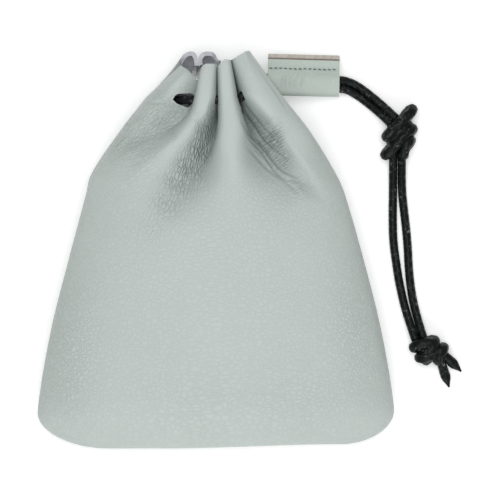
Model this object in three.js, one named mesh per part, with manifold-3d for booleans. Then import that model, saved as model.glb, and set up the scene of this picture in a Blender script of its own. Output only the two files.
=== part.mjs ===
// Leather drawstring coin purse, lying on its back with its neck drawn shut.
// Millimetres. +X is the purse's right as it is seen from above, +Y points to the mouth, +Z is up.
// The origin is under the middle of the purse, on the surface that it lies on.
import * as THREE from 'three';
import { mergeVertices } from 'three/addons/utils/BufferGeometryUtils.js';
import Module from 'manifold-3d';

const wasm = await Module();
wasm.setup();

// Driving sizes
const PURSE_WIDTH = 100;
const PURSE_HEIGHT = 111.6;
const PURSE_DEPTH = 24;
const LEATHER = 1.2;
const SEAM_GAP = 0.4;
const PIECE_GAP = 0.3;
const CORNER_HEIGHT = 12.5;
const CORNER_REACH_LEFT = 17;
const CORNER_REACH_RIGHT = 13;
const BOTTOM_ROLL = 15;
const BOTTOM_RISE = 1.2;
const FRONT_FULLNESS = 2.3;
const BACK_FLAT_SHARE = 0.62;
const NECK_SHARE = 0.885;
const CORD_DIAMETER = 2.1;
const CORD_CLEARANCE = 0.4;
const EXIT_HOLE = 4.6;
const EXIT_HOLE_RISE = 1.5;
const SLIDER_LENGTH = 21;
const SLIDER_FLAP = 4.4;
const SLIDER_STEP = 1.4;
const SLIDER_WALL = 1.1;

const strandSpread = CORD_DIAMETER + PIECE_GAP;
const sliderTube = 2 * CORD_DIAMETER + 3 * PIECE_GAP + 2 * SLIDER_WALL;
const halfWidth = PURSE_WIDTH / 2;
const bottomY = -PURSE_HEIGHT / 2;

// Sections of the purse from the bottom seam to the neck. up is a share of the height, left and right are
// shares of half the width, and depth and seam are shares of the depth.
const SECTIONS = [
  { up: 0.0, left: 1.0, right: 1.0, depth: 0.86, seam: 0.2 },
  { up: 0.1, left: 1.0, right: 1.0, depth: 0.93, seam: 0.27 },
  { up: 0.3, left: 0.924, right: 0.927, depth: 1.0, seam: 0.34 },
  { up: 0.475, left: 0.826, right: 0.83, depth: 1.0, seam: 0.36 },
  { up: 0.64, left: 0.728, right: 0.724, depth: 0.96, seam: 0.37 },
  { up: 0.69, left: 0.699, right: 0.675, depth: 0.94, seam: 0.38 },
  { up: 0.8, left: 0.536, right: 0.523, depth: 0.9, seam: 0.4 },
  { up: NECK_SHARE, left: 0.388, right: 0.372, depth: 0.86, seam: 0.42 },
];

// Folds of each panel from its left seam to its right seam. across is the place along the panel, neckX and
// neckZ the place at the drawstring, as shares of the half width and depth there, rimX, rimY and rimZ the
// place at the mouth, as shares of the purse's half width, height and depth, tight how sharply a valley
// closes, and gather and fade the shares of the height between which the fold dies out.
const FOLD_GATHER_SHARE = 0.88;
const SEAM_FADE_SHARE = 0.6;
const seam = (row) => ({ kind: 'seam', tight: 1, gather: FOLD_GATHER_SHARE, fade: SEAM_FADE_SHARE, ...row });
const ridge = (row) => ({ kind: 'ridge', tight: 0, gather: FOLD_GATHER_SHARE, ...row });
const valley = (row) => ({ kind: 'valley', gather: FOLD_GATHER_SHARE, ...row });
const LEFT_SEAM = seam({ across: 0, neckX: -1, neckZ: 0.42, rimX: -0.214, rimY: 0.963, rimZ: 0.47 });
const RIGHT_SEAM = seam({ across: 1, neckX: 1, neckZ: 0.66, rimX: 0.191, rimY: 1, rimZ: 0.36 });
const FRONT_FOLDS = [
  LEFT_SEAM,
  ridge({ across: 0.1, neckX: -0.72, neckZ: 0.86, rimX: -0.169, rimY: 0.956, rimZ: 0.62, fade: 0.72 }),
  valley({
    across: 0.19, neckX: -0.32, neckZ: 0.68, rimX: -0.09, rimY: 0.923, rimZ: 0.6,
    tight: 0.8, fade: 0.71,
  }),
  ridge({ across: 0.27, neckX: -0.133, neckZ: 1.0, rimX: -0.034, rimY: 0.963, rimZ: 0.8, fade: 0.65 }),
  valley({
    across: 0.386, neckX: 0.025, neckZ: 0.7, rimX: 0.0084, rimY: 0.956, rimZ: 0.63,
    tight: 1, gather: 0.8, fade: 0.52,
  }),
  ridge({ across: 0.534, neckX: 0.186, neckZ: 1.01, rimX: 0.051, rimY: 0.976, rimZ: 0.83, fade: 0.5 }),
  valley({
    across: 0.75, neckX: 0.366, neckZ: 0.66, rimX: 0.09, rimY: 0.976, rimZ: 0.58,
    tight: 0.4, fade: 0.61,
  }),
  ridge({ across: 0.84, neckX: 0.63, neckZ: 0.97, rimX: 0.15, rimY: 0.99, rimZ: 0.74, fade: 0.54 }),
  RIGHT_SEAM,
];
const BACK_FOLDS = [
  LEFT_SEAM,
  ridge({ across: 0.14, neckX: -0.64, neckZ: 0, rimX: -0.143, rimY: 0.9985, rimZ: 0.44, fade: 0.62 }),
  valley({
    across: 0.27, neckX: -0.42, neckZ: 0.27, rimX: -0.08, rimY: 0.96, rimZ: 0.5,
    tight: 0.6, fade: 0.6,
  }),
  ridge({ across: 0.38, neckX: -0.21, neckZ: 0, rimX: -0.034, rimY: 0.9985, rimZ: 0.5, fade: 0.58 }),
  valley({
    across: 0.5, neckX: 0, neckZ: 0.27, rimX: 0.002, rimY: 0.963, rimZ: 0.21,
    tight: 0.6, fade: 0.56,
  }),
  ridge({ across: 0.62, neckX: 0.2, neckZ: 0, rimX: 0.053, rimY: 0.973, rimZ: 0.06, fade: 0.58 }),
  valley({
    across: 0.73, neckX: 0.4, neckZ: 0.27, rimX: 0.095, rimY: 0.973, rimZ: 0.22,
    tight: 0.6, fade: 0.6,
  }),
  ridge({ across: 0.84, neckX: 0.56, neckZ: 0.01, rimX: 0.13, rimY: 0.98, rimZ: 0.14, fade: 0.62 }),
  valley({
    across: 0.93, neckX: 0.7, neckZ: 0.56, rimX: 0.162, rimY: 0.985, rimZ: 0.28,
    tight: 1, fade: 0.7,
  }),
  RIGHT_SEAM,
];

// How finely the panels are divided: columns for each half fold, and rows in each stretch of the height, of
// which the body ends and the shoulder starts at SHOULDER_SHARE
const HALF_FOLD_STEPS = 4;
const ROLL_ROWS = 5;
const BODY_ROWS = 3;
const SHOULDER_ROWS = 6;
const MOUTH_ROWS = 3;
const SHOULDER_SHARE = 0.55;

// How far in from a seam the two panels stay drawn apart by the gap, as shares of a panel's width and height.
// The gap is whole over the first half of that.
const GAP_ACROSS_SHARE = 0.14;
const GAP_UP_SHARE = 0.12;

// The bottom seam rises towards the right: where that starts and is whole, as shares of the half width, and
// the share of the height at which it has evened out
const RISE_FROM_SHARE = -0.4;
const RISE_TO_SHARE = 1;
const RISE_FADE_SHARE = 0.3;

const mix = (a, b, t) => a + (b - a) * t;
const clamp01 = (t) => Math.min(1, Math.max(0, t));
const smooth = (t) => clamp01(t) ** 2 * (3 - 2 * clamp01(t));

// A column of SECTIONS at a height, on a smooth curve through its rows
function sectionAt(up, column) {
  const last = SECTIONS.length - 1;
  let i = 0;
  while (i < last - 1 && up > SECTIONS[i + 1].up) i += 1;
  const slope = (k) => {
    const a = SECTIONS[Math.max(0, k - 1)];
    const b = SECTIONS[Math.min(last, k + 1)];
    return (b[column] - a[column]) / (b.up - a.up);
  };
  const [p, q] = [SECTIONS[i], SECTIONS[i + 1]];
  const span = q.up - p.up;
  const t = clamp01((up - p.up) / span);
  return (2 * t ** 3 - 3 * t ** 2 + 1) * p[column] + (t ** 3 - 2 * t ** 2 + t) * span * slope(i)
    + (3 * t ** 2 - 2 * t ** 3) * q[column] + (t ** 3 - t ** 2) * span * slope(i + 1);
}

// A quarter of a round edge: 0 at the edge, 1 where the edge has become flat
const roundEdge = (t) => Math.sqrt(1 - (1 - clamp01(t)) ** 2);

function reachAt(up, side) {
  const column = side < 0 ? 'left' : 'right';
  const corner = side < 0 ? CORNER_REACH_LEFT : CORNER_REACH_RIGHT;
  const rounding = corner * (1 - roundEdge((up * PURSE_HEIGHT) / CORNER_HEIGHT));
  return halfWidth * sectionAt(up, column) - rounding;
}

const rollAt = (up) => roundEdge((up * PURSE_HEIGHT) / BOTTOM_ROLL);

// Where the side seam and the top of the front run, at one height of the unpleated body
const seamZ = (up) => PURSE_DEPTH * sectionAt(up, 'seam');
const bodyTop = (up) => PURSE_DEPTH * sectionAt(up, 'depth');

// The unpleated body: a full front over a back that is flat where it lies
function bodyPoint(front, across, up) {
  const seam = seamZ(up);
  let x;
  let z;
  if (front) {
    const turn = Math.PI * across;
    const power = 2 / FRONT_FULLNESS;
    x = -Math.sign(Math.cos(turn)) * Math.abs(Math.cos(turn)) ** power;
    z = seam + (bodyTop(up) - seam) * Math.abs(Math.sin(turn)) ** power * rollAt(up);
  } else {
    const fromSeam = Math.min(across, 1 - across);
    const bend = (1 - BACK_FLAT_SHARE) / 2;
    const turn = (Math.PI / 2) * clamp01(fromSeam / bend);
    const flat = 1 - clamp01((fromSeam - bend) / (0.5 - bend));
    x = Math.sign(across - 0.5) * (BACK_FLAT_SHARE * flat + (1 - BACK_FLAT_SHARE) * Math.cos(turn));
    z = seam * (1 - Math.sin(turn) * rollAt(up));
  }
  const toRight = smooth((x - RISE_FROM_SHARE) / (RISE_TO_SHARE - RISE_FROM_SHARE));
  const risen = BOTTOM_RISE * toRight * (1 - clamp01(up / RISE_FADE_SHARE));
  return new THREE.Vector3(x * reachAt(up, x), bottomY + up * PURSE_HEIGHT + risen, z);
}

// How far along, across and outwards a half fold has gone, from its valley to its ridge
function foldCourse(t, tight) {
  const turn = (Math.PI / 2) * t;
  return {
    along: mix(t, 1 - Math.cos(turn), tight),
    out: mix((1 - Math.cos(Math.PI * t)) / 2, Math.sin(turn), tight),
  };
}

// One column of a panel: where it lies at the neck and at the mouth, and how far down its fold reaches. The
// low end of a half fold is its valley, or the seam beside a ridge. Beside a valley the seam is the high end,
// and the fold goes sideways.
function foldColumn(folds, index, step) {
  const a = folds[index];
  const b = folds[index + 1];
  const t = step / HALF_FOLD_STEPS;
  const isLow = a.kind === 'valley' ? b.kind !== 'valley' : a.kind === 'seam' && b.kind === 'ridge';
  const low = isLow ? a : b;
  const high = isLow ? b : a;
  const course = foldCourse(isLow ? t : 1 - t, low.tight);
  const sideways = high.kind === 'seam';
  const pick = (column, out) => mix(low[column], high[column], out ? course.out : course.along);
  return {
    across: mix(a.across, b.across, t),
    gather: mix(a.gather, b.gather, t),
    fade: mix(a.fade, b.fade, t),
    neckX: pick('neckX', sideways),
    neckZ: pick('neckZ', !sideways),
    rimX: pick('rimX', sideways),
    rimY: pick('rimY', true),
    rimZ: pick('rimZ', !sideways),
  };
}

function foldColumns(folds) {
  const columns = [];
  for (let i = 0; i < folds.length - 1; i += 1) {
    for (let k = 0; k < HALF_FOLD_STEPS; k += 1) columns.push(foldColumn(folds, i, k));
  }
  columns.push(foldColumn(folds, folds.length - 2, HALF_FOLD_STEPS));
  return columns;
}

// The gathered form at a height up to the drawstring
function gatheredPoint(column, up) {
  return new THREE.Vector3(
    column.neckX * reachAt(up, column.neckX),
    bottomY + up * PURSE_HEIGHT,
    column.neckZ * bodyTop(up),
  );
}

// A point of a panel's outer face. row is 0 at the bottom seam, NECK_SHARE at the drawstring and 1 at the rim
function outerPoint(front, column, row) {
  const up = Math.min(row, NECK_SHARE);
  const share = smooth((up - column.fade) / (column.gather - column.fade));
  const point = bodyPoint(front, column.across, up).lerp(gatheredPoint(column, up), share);
  if (row > NECK_SHARE) {
    const rim = new THREE.Vector3(
      column.rimX * halfWidth,
      bottomY + column.rimY * PURSE_HEIGHT,
      column.rimZ * PURSE_DEPTH,
    );
    point.lerp(rim, (row - NECK_SHARE) / (1 - NECK_SHARE));
  }
  const side = front ? 1 : -1;
  const seamShare = clamp01(2 - (2 * Math.min(column.across, 1 - column.across)) / GAP_ACROSS_SHARE);
  const bottomShare = clamp01(2 - (2 * row) / GAP_UP_SHARE);
  point.z += (side * SEAM_GAP * Math.max(seamShare, bottomShare)) / 2;
  return point;
}

function panelRows() {
  const rollTop = BOTTOM_ROLL / PURSE_HEIGHT;
  const rows = [];
  for (let k = 0; k < ROLL_ROWS; k += 1) {
    rows.push(rollTop * (1 - Math.cos((Math.PI / 2) * (k / ROLL_ROWS))));
  }
  for (let k = 0; k < BODY_ROWS; k += 1) rows.push(mix(rollTop, SHOULDER_SHARE, k / BODY_ROWS));
  for (let k = 0; k < SHOULDER_ROWS; k += 1) rows.push(mix(SHOULDER_SHARE, NECK_SHARE, k / SHOULDER_ROWS));
  for (let k = 0; k <= MOUTH_ROWS; k += 1) rows.push(mix(NECK_SHARE, 1, k / MOUTH_ROWS));
  return rows;
}

// Which way is inwards, in plan, from a point on the seam edge of a panel
function inwardFromSeam(grid, r, c) {
  const last = grid[0].length - 1;
  let edge;
  if (r === 0 && c === 0) edge = grid[0][1].clone().sub(grid[1][0]);
  else if (r === 0 && c === last) edge = grid[1][last].clone().sub(grid[0][last - 1]);
  else if (r === 0) edge = grid[0][c + 1].clone().sub(grid[0][c - 1]);
  else edge = grid[Math.min(grid.length - 1, r + 1)][c].clone().sub(grid[r - 1][c]);
  const turn = r > 0 && c === 0 ? -1 : 1;
  return new THREE.Vector3(-edge.y * turn, edge.x * turn, 0).normalize();
}

// Which way is inwards from a point of a panel's outer face
function inwardFromFace(grid, r, c, side) {
  const along = grid[r][c + 1].clone().sub(grid[r][c - 1]);
  const up = grid[Math.min(grid.length - 1, r + 1)][c].clone().sub(grid[r - 1][c]);
  return along.cross(up).normalize().multiplyScalar(-side);
}

// A closed wall of leather between an outer grid of points and the same grid moved inwards
function leatherWall(grid, side) {
  const rows = grid.length;
  const columns = grid[0].length;
  const last = columns - 1;
  const positions = [];
  const inner = [];
  for (let r = 0; r < rows; r += 1) {
    for (let c = 0; c < columns; c += 1) {
      const onSeam = r === 0 || c === 0 || c === last;
      const inward = onSeam ? inwardFromSeam(grid, r, c) : inwardFromFace(grid, r, c, side);
      positions.push(...grid[r][c].toArray());
      inner.push(...grid[r][c].clone().addScaledVector(inward, LEATHER).toArray());
    }
  }
  positions.push(...inner);
  const outer = (r, c) => r * columns + c;
  const inside = (r, c) => rows * columns + outer(r, c);
  const index = [];
  const quad = (a, b, c, d) => {
    if (side > 0) index.push(a, b, c, a, c, d);
    else index.push(a, c, b, a, d, c);
  };
  for (let r = 0; r < rows - 1; r += 1) {
    for (let c = 0; c < last; c += 1) {
      quad(outer(r, c), outer(r, c + 1), outer(r + 1, c + 1), outer(r + 1, c));
      quad(inside(r, c), inside(r + 1, c), inside(r + 1, c + 1), inside(r, c + 1));
    }
  }
  for (let c = 0; c < last; c += 1) {
    quad(outer(0, c), inside(0, c), inside(0, c + 1), outer(0, c + 1));
    quad(outer(rows - 1, c), outer(rows - 1, c + 1), inside(rows - 1, c + 1), inside(rows - 1, c));
  }
  for (let r = 0; r < rows - 1; r += 1) {
    quad(outer(r, 0), outer(r + 1, 0), inside(r + 1, 0), inside(r, 0));
    quad(outer(r, last), inside(r, last), inside(r + 1, last), outer(r + 1, last));
  }
  const geometry = new THREE.BufferGeometry();
  geometry.setAttribute('position', new THREE.Float32BufferAttribute(positions, 3));
  geometry.setIndex(index);
  return geometry;
}

function panelGeometry(front) {
  const columns = foldColumns(front ? FRONT_FOLDS : BACK_FOLDS);
  const grid = panelRows().map((row) => columns.map((column) => outerPoint(front, column, row)));
  return leatherWall(grid, front ? 1 : -1);
}

// Conversions between geometries and solids, for cuts and joins
function solidOf(geometry) {
  const bare = geometry.clone();
  bare.deleteAttribute('normal');
  bare.deleteAttribute('uv');
  const merged = mergeVertices(bare, 1e-4);
  return new wasm.Manifold(new wasm.Mesh({
    numProp: 3,
    vertProperties: new Float32Array(merged.attributes.position.array),
    triVerts: new Uint32Array(merged.index.array),
  }));
}

function geometryOf(solid) {
  const mesh = solid.getMesh();
  const geometry = new THREE.BufferGeometry();
  geometry.setAttribute('position', new THREE.Float32BufferAttribute(mesh.vertProperties, 3));
  geometry.setIndex(new THREE.Uint32BufferAttribute(mesh.triVerts, 1));
  return geometry;
}

// A round cord along a smooth curve through its points
const CORD_SIDES = 8;

function cordGeometry(points, steps, diameter = CORD_DIAMETER) {
  const section = new THREE.Shape();
  for (let k = 0; k < CORD_SIDES; k += 1) {
    const angle = (2 * Math.PI * (k + 0.5)) / CORD_SIDES;
    const x = (diameter / 2) * Math.cos(angle);
    const y = (diameter / 2) * Math.sin(angle);
    if (k === 0) section.moveTo(x, y);
    else section.lineTo(x, y);
  }
  section.closePath();
  const curve = new THREE.CatmullRomCurve3(points, false, 'centripetal');
  return new THREE.ExtrudeGeometry(section, { steps, bevelEnabled: false, extrudePath: curve });
}

// The drawstring inside the pleats: in front of each valley and behind each ridge. Its plane leans, so that
// it leaves the neck at the right higher up than it crosses the left. Left and right are shares of half the
// purse's width, front and back of its depth, and the heights shares of its height.
const LOOP = { left: 0.28, right: 0.265, front: 0.7, back: 0.145, leftUp: 0.878, rightUp: 0.936 };
const LOOP_STEPS = 28;
const LOOP_POINTS = 14;
const EXIT_ANGLE = 0.22 * Math.PI;
const HOLE_SIDES = 12;
const EXIT_UP_SHARE = 0.9217;
const EXIT_Z_SHARE = 0.347;

// The middle between both strands where they leave the purse
const exit = new THREE.Vector3(
  LOOP.right * halfWidth + CORD_DIAMETER / 2 - CORD_CLEARANCE,
  bottomY + EXIT_UP_SHARE * PURSE_HEIGHT,
  EXIT_Z_SHARE * PURSE_DEPTH,
);

function loopPoint(turn) {
  const c = Math.cos(turn);
  const middleX = ((LOOP.right - LOOP.left) / 2) * halfWidth;
  const reach = ((LOOP.right + LOOP.left) / 2) * halfWidth;
  const middleZ = ((LOOP.front + LOOP.back) / 2) * PURSE_DEPTH;
  const rise = ((LOOP.front - LOOP.back) / 2) * PURSE_DEPTH;
  const up = mix(LOOP.leftUp, LOOP.rightUp, (c + 1) / 2);
  return new THREE.Vector3(middleX + reach * c, bottomY + up * PURSE_HEIGHT, middleZ + rise * Math.sin(turn));
}

const strandExit = (side) => exit.clone().add(new THREE.Vector3(0, (side * strandSpread) / 2, 0));

function loopPath() {
  const lead = new THREE.Vector3(-CORD_DIAMETER, 0, 0);
  const points = [strandExit(1), strandExit(1).add(lead)];
  for (let k = 0; k <= LOOP_POINTS; k += 1) {
    points.push(loopPoint(mix(EXIT_ANGLE, 2 * Math.PI - EXIT_ANGLE, k / LOOP_POINTS)));
  }
  points.push(strandExit(-1).add(lead), strandExit(-1));
  return points;
}

// What the drawstring needs free in the leather: a channel along it and on past both its ends, and the hole
// that is punched at its exit
function drawstringRoom() {
  const width = CORD_DIAMETER + 2 * CORD_CLEARANCE;
  const beyond = new THREE.Vector3(CORD_DIAMETER, 0, 0);
  const ends = [1, -1].map((side) => {
    const start = strandExit(side);
    return cordGeometry([start.clone().sub(beyond), start.clone().add(beyond)], 1, width);
  });
  const hole = new THREE.CylinderGeometry(EXIT_HOLE / 2, EXIT_HOLE / 2, EXIT_HOLE, HOLE_SIDES);
  hole.rotateZ(Math.PI / 2);
  hole.translate(...strandExit(1).add(new THREE.Vector3(0, 0, EXIT_HOLE_RISE)).toArray());
  const channel = cordGeometry(loopPath(), LOOP_STEPS, width);
  return [channel, ...ends, hole].map(solidOf).reduce((all, next) => all.add(next));
}

const room = drawstringRoom();
const cutPanel = (front) => geometryOf(solidOf(panelGeometry(front)).subtract(room));

// The slider: a strip of leather folded into a tube round both strands, its ends together as a flap. It leans
// from the exit down to the surface. The lower end of the strip reaches further than the upper one.
const SLIDER_OUTLINE_STEPS = 26;
const SLIDER_ANGLE = -0.017;
const sliderInside = CORD_DIAMETER + 2 * PIECE_GAP;
const sliderFall = exit.z - (sliderInside / 2 + SLIDER_WALL + PIECE_GAP);
const sliderLean = Math.asin(sliderFall / SLIDER_LENGTH);

// The upper half of the strip's middle line, from the tube's far side to where the flap starts. side is a
// share of the tube's half width, rise a share of its half height, and press how much of it the flap keeps.
const SLIDER_SECTION = [
  { side: -1, rise: 0 },
  { side: -0.85, rise: 0.72 },
  { side: -0.35, rise: 1 },
  { side: 0.4, rise: 1 },
  { side: 0.95, rise: 0.58 },
];
const FLAP_START = 1.35;

// A flat strip's outline on both sides of its middle line
function stripShape(middle, thickness) {
  const curve = new THREE.CatmullRomCurve3(middle, false, 'centripetal');
  const samples = curve.getPoints(SLIDER_OUTLINE_STEPS);
  const face = (sign) => samples.map((point, k) => {
    const tangent = curve.getTangent(k / SLIDER_OUTLINE_STEPS).multiplyScalar((sign * thickness) / 2);
    return new THREE.Vector2(point.x - tangent.y, point.y + tangent.x);
  });
  return new THREE.Shape([...face(1), ...face(-1).reverse()]);
}

function sliderGeometry() {
  const halfWide = (sliderTube - SLIDER_WALL) / 2;
  const halfTall = (sliderInside + SLIDER_WALL) / 2;
  const pressed = (SLIDER_WALL + PIECE_GAP) / 2;
  const flapEnd = sliderTube / 2 + SLIDER_FLAP;
  const upper = SLIDER_SECTION.map((row) => new THREE.Vector3(row.side * halfWide, row.rise * halfTall, 0));
  upper.push(new THREE.Vector3(FLAP_START * halfWide, pressed, 0));
  const lower = upper.slice(1).reverse().map((point) => new THREE.Vector3(point.x, -point.y, 0));
  const middle = [
    new THREE.Vector3(flapEnd, -pressed, 0),
    ...lower,
    ...upper,
    new THREE.Vector3(flapEnd - SLIDER_STEP, pressed, 0),
  ];
  const geometry = new THREE.ExtrudeGeometry(stripShape(middle, SLIDER_WALL), {
    depth: SLIDER_LENGTH,
    bevelEnabled: false,
  });
  geometry.applyMatrix4(new THREE.Matrix4().makeBasis(
    new THREE.Vector3(0, 1, 0),
    new THREE.Vector3(0, 0, 1),
    new THREE.Vector3(1, 0, 0),
  ));
  geometry.rotateY(sliderLean);
  geometry.rotateZ(SLIDER_ANGLE);
  geometry.translate(exit.x + 2 * PIECE_GAP, exit.y, exit.z);
  return geometry;
}

// Routes of the free cord, as offsets from the exit along X and Y, and heights above the surface
const route = (rows) => rows.map(([x, y, z]) => new THREE.Vector3(exit.x + x, exit.y + y, z));
const STRAND_FRONT = [
  [0.3, 1.2, 8.25], [3.4, 1.15, 7.4], [6.8, 1.1, 6.5], [10.2, 1.05, 5.6], [13.6, 1, 4.65],
  [17, 0.9, 3.75], [20.3, 0.85, 2.85], [22.4, 0.7, 2.2], [24.1, 0.25, 1.75], [25.8, -0.55, 1.5],
  [27.4, -1.65, 1.4], [29, -2.85, 1.55], [30.5, -4.05, 1.95], [31.8, -5.1, 2.45], [33, -6.1, 3],
];
const STRAND_BACK = [
  [0.3, -1.2, 8.25], [3.4, -1.25, 7.4], [6.8, -1.3, 6.5], [10.2, -1.35, 5.6], [13.6, -1.4, 4.65],
  [17, -1.5, 3.75], [20.2, -1.6, 2.85], [22.1, -1.9, 2.2], [23.6, -2.4, 1.75], [25.1, -3.25, 1.45],
  [26.6, -4.25, 1.35], [28.1, -5.4, 1.5], [29.5, -6.5, 1.95], [30.8, -7.55, 2.45], [32, -8.5, 3],
];
const RUN_LEFT = [
  [35.75, -23.2, 2.9], [35.75, -26, 2.1], [35.75, -28.7, 1.4], [35.8, -31.5, 1.1],
  [35.75, -34.8, 1.1], [35.7, -38.2, 1.1], [35.7, -41.6, 1.1], [36.05, -45, 1.1],
  [36.55, -48.4, 1.1], [37.1, -51.8, 1.1], [37.6, -55.2, 1.1], [38.3, -58.7, 1.1],
  [39.1, -62.2, 1.25], [40.3, -66.4, 1.75], [41.7, -70.7, 2.6],
];
const RUN_RIGHT = [
  [38.2, -23.2, 2.9], [38.3, -26, 2.1], [38.4, -28.7, 1.4], [38.5, -31.5, 1.1],
  [38.75, -34.8, 1.1], [39.05, -38.2, 1.1], [39.4, -41.6, 1.1], [39.65, -45, 1.1],
  [39.9, -48.4, 1.1], [40.25, -51.8, 1.1], [40.65, -55.2, 1.1], [41.2, -58.7, 1.1],
  [41.85, -62.2, 1.25], [42.85, -66.4, 1.75], [44.2, -70.7, 2.6],
];
const FREE_STEPS = 16;
const WRAP_STEPS = 12;
const CORE_STEPS = 6;

// A wrap of a knot: a ring of cord that stands on edge, seen from above as a band along its heading
function wrapSolid({ x, y, z, half, rise, heading }) {
  const ring = new THREE.TorusGeometry(half, CORD_DIAMETER / 2, CORD_SIDES, WRAP_STEPS);
  const position = ring.attributes.position;
  for (let k = 0; k < position.count; k += 1) {
    const angle = Math.atan2(position.getY(k), position.getX(k));
    const along = position.getX(k);
    const up = position.getY(k) + (rise - half) * Math.sin(angle);
    position.setXYZ(k, along, position.getZ(k), up);
  }
  ring.index.array.reverse();
  ring.rotateZ(THREE.MathUtils.degToRad(heading));
  ring.translate(exit.x + x, exit.y + y, z);
  return solidOf(ring);
}

const joined = (solids) => geometryOf(solids.reduce((all, next) => all.add(next)));
const coreSolid = (rows) => solidOf(cordGeometry(route(rows), CORE_STEPS));

// Wraps and cores of each knot, placed as the routes are. half and rise are half the length and height of a
// wrap's middle line, and heading is the direction of its band in degrees.
const UPPER_WRAPS = [
  { x: 37.3, y: -11.5, z: 3.5, half: 4.6, rise: 2.3, heading: 45 },
  { x: 37.6, y: -14.6, z: 3.6, half: 3.9, rise: 2.5, heading: 43 },
  { x: 37.5, y: -17.6, z: 3.5, half: 4.8, rise: 2.3, heading: 41 },
  { x: 39.2, y: -19.6, z: 3.2, half: 3.0, rise: 2.0, heading: 50 },
];
const UPPER_CORES = [
  [[33.43, -6.49, 3.2], [36.4, -10.6, 3.5], [37.8, -16.2, 3.5], [38.2, -22.9, 3.0]],
  [[32.31, -8.79, 3.1], [35.0, -12.3, 3.5], [36.1, -17.6, 3.5], [35.75, -22.9, 3.0]],
];
const END_WRAPS = [
  { x: 44.0, y: -73.4, z: 3.2, half: 3.3, rise: 2.0, heading: 10 },
  { x: 46.4, y: -76.2, z: 3.2, half: 3.9, rise: 2.1, heading: 20 },
  { x: 46.2, y: -74.2, z: 3.3, half: 3.4, rise: 2.1, heading: -48 },
  { x: 47.9, y: -73.6, z: 3.1, half: 2.6, rise: 1.8, heading: -75 },
];
const END_CORES = [
  [[41.8, -71.0, 2.75], [42.9, -73.4, 3.2], [45.5, -76.0, 3.1], [48.5, -77.6, 2.3]],
  [[44.3, -71.0, 2.75], [45.4, -73.2, 3.2], [47.6, -75.4, 3.0], [50.2, -77.8, 2.2]],
];
const TAILS = [
  { x: 48.2, y: -76.8, z: 2.0, length: 10.8, heading: -73 },
  { x: 49.4, y: -76.6, z: 2.0, length: 7.6, heading: -45 },
];

// The pinched end of a tail: its length, how much wider than the cord it is pressed, and its outline back
// from the tip, as shares of its length and radius
const TAIL_TIP = 3.4;
const TAIL_SPREAD = 0.1;
const TIP_OUTLINE = [
  { back: 1, wide: 1 },
  { back: 0.4, wide: 0.62 },
  { back: 0.1, wide: 0.3 },
  { back: 0, wide: 0.3 },
];

// A short end of cord, pinched to a point, lying down from the knot to the surface
function tailSolid({ x, y, z, length, heading }) {
  const radius = CORD_DIAMETER / 2 + TAIL_SPREAD;
  const tip = TIP_OUTLINE.map(({ back, wide }) => new THREE.Vector2(wide * radius, length - back * TAIL_TIP));
  const start = [new THREE.Vector2(0, 0), new THREE.Vector2(radius, 0)];
  const profile = [...start, ...tip, new THREE.Vector2(0, length)];
  const tail = new THREE.LatheGeometry(profile, CORD_SIDES);
  tail.rotateZ(-Math.PI / 2);
  tail.rotateY(Math.asin((z - radius) / length));
  tail.rotateZ(THREE.MathUtils.degToRad(heading));
  tail.translate(exit.x + x, exit.y + y, z);
  return solidOf(tail);
}

const surface = (color, roughness) => new THREE.MeshStandardMaterial({ color, roughness, metalness: 0 });
const purseLeather = () => surface(0xaab4b0, 0.6);
const sliderLeather = () => surface(0xa9b3a6, 0.6);
const waxedCord = () => surface(0x1b1f20, 0.55);

const group = new THREE.Group();
function addPiece(name, geometry, material) {
  const mesh = new THREE.Mesh(geometry, material);
  mesh.name = name;
  group.add(mesh);
}

const upperKnot = [...UPPER_WRAPS.map(wrapSolid), ...UPPER_CORES.map(coreSolid)];
const endKnot = [...END_WRAPS.map(wrapSolid), ...END_CORES.map(coreSolid), ...TAILS.map(tailSolid)];
const freeCord = (rows) => cordGeometry(route(rows), FREE_STEPS);

addPiece('purse_front', cutPanel(true), purseLeather());
addPiece('purse_back', cutPanel(false), purseLeather());
addPiece('drawstring_loop', cordGeometry(loopPath(), LOOP_STEPS), waxedCord());
addPiece('slider', sliderGeometry(), sliderLeather());
addPiece('strand_front', freeCord(STRAND_FRONT), waxedCord());
addPiece('strand_back', freeCord(STRAND_BACK), waxedCord());
addPiece('upper_knot', joined(upperKnot), waxedCord());
addPiece('run_left', freeCord(RUN_LEFT), waxedCord());
addPiece('run_right', freeCord(RUN_RIGHT), waxedCord());
addPiece('end_knot', joined(endKnot), waxedCord());

export default group;
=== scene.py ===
"""Leather drawstring coin purse, lying on its back with its neck drawn shut: the looks of every piece.

Metres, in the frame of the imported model: +X is the purse's right as it is seen from above, +Y points to the
mouth, +Z is up, and the origin is under the middle of the purse, on the surface that it lies on.
"""
import math

import bpy
import numpy as np
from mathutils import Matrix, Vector


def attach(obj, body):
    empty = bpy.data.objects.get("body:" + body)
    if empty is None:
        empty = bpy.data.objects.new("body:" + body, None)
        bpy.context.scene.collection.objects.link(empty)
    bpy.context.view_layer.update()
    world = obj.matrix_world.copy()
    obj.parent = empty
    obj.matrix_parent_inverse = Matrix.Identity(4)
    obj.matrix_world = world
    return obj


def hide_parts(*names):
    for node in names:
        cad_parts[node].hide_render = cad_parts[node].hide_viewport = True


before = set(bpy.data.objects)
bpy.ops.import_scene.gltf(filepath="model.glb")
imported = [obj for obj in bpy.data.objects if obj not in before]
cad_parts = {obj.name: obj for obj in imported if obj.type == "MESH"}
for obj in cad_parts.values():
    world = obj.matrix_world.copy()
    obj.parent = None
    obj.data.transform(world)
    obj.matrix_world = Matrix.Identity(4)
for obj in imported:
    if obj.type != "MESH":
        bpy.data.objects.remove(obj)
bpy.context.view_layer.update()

MM = 0.001

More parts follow.
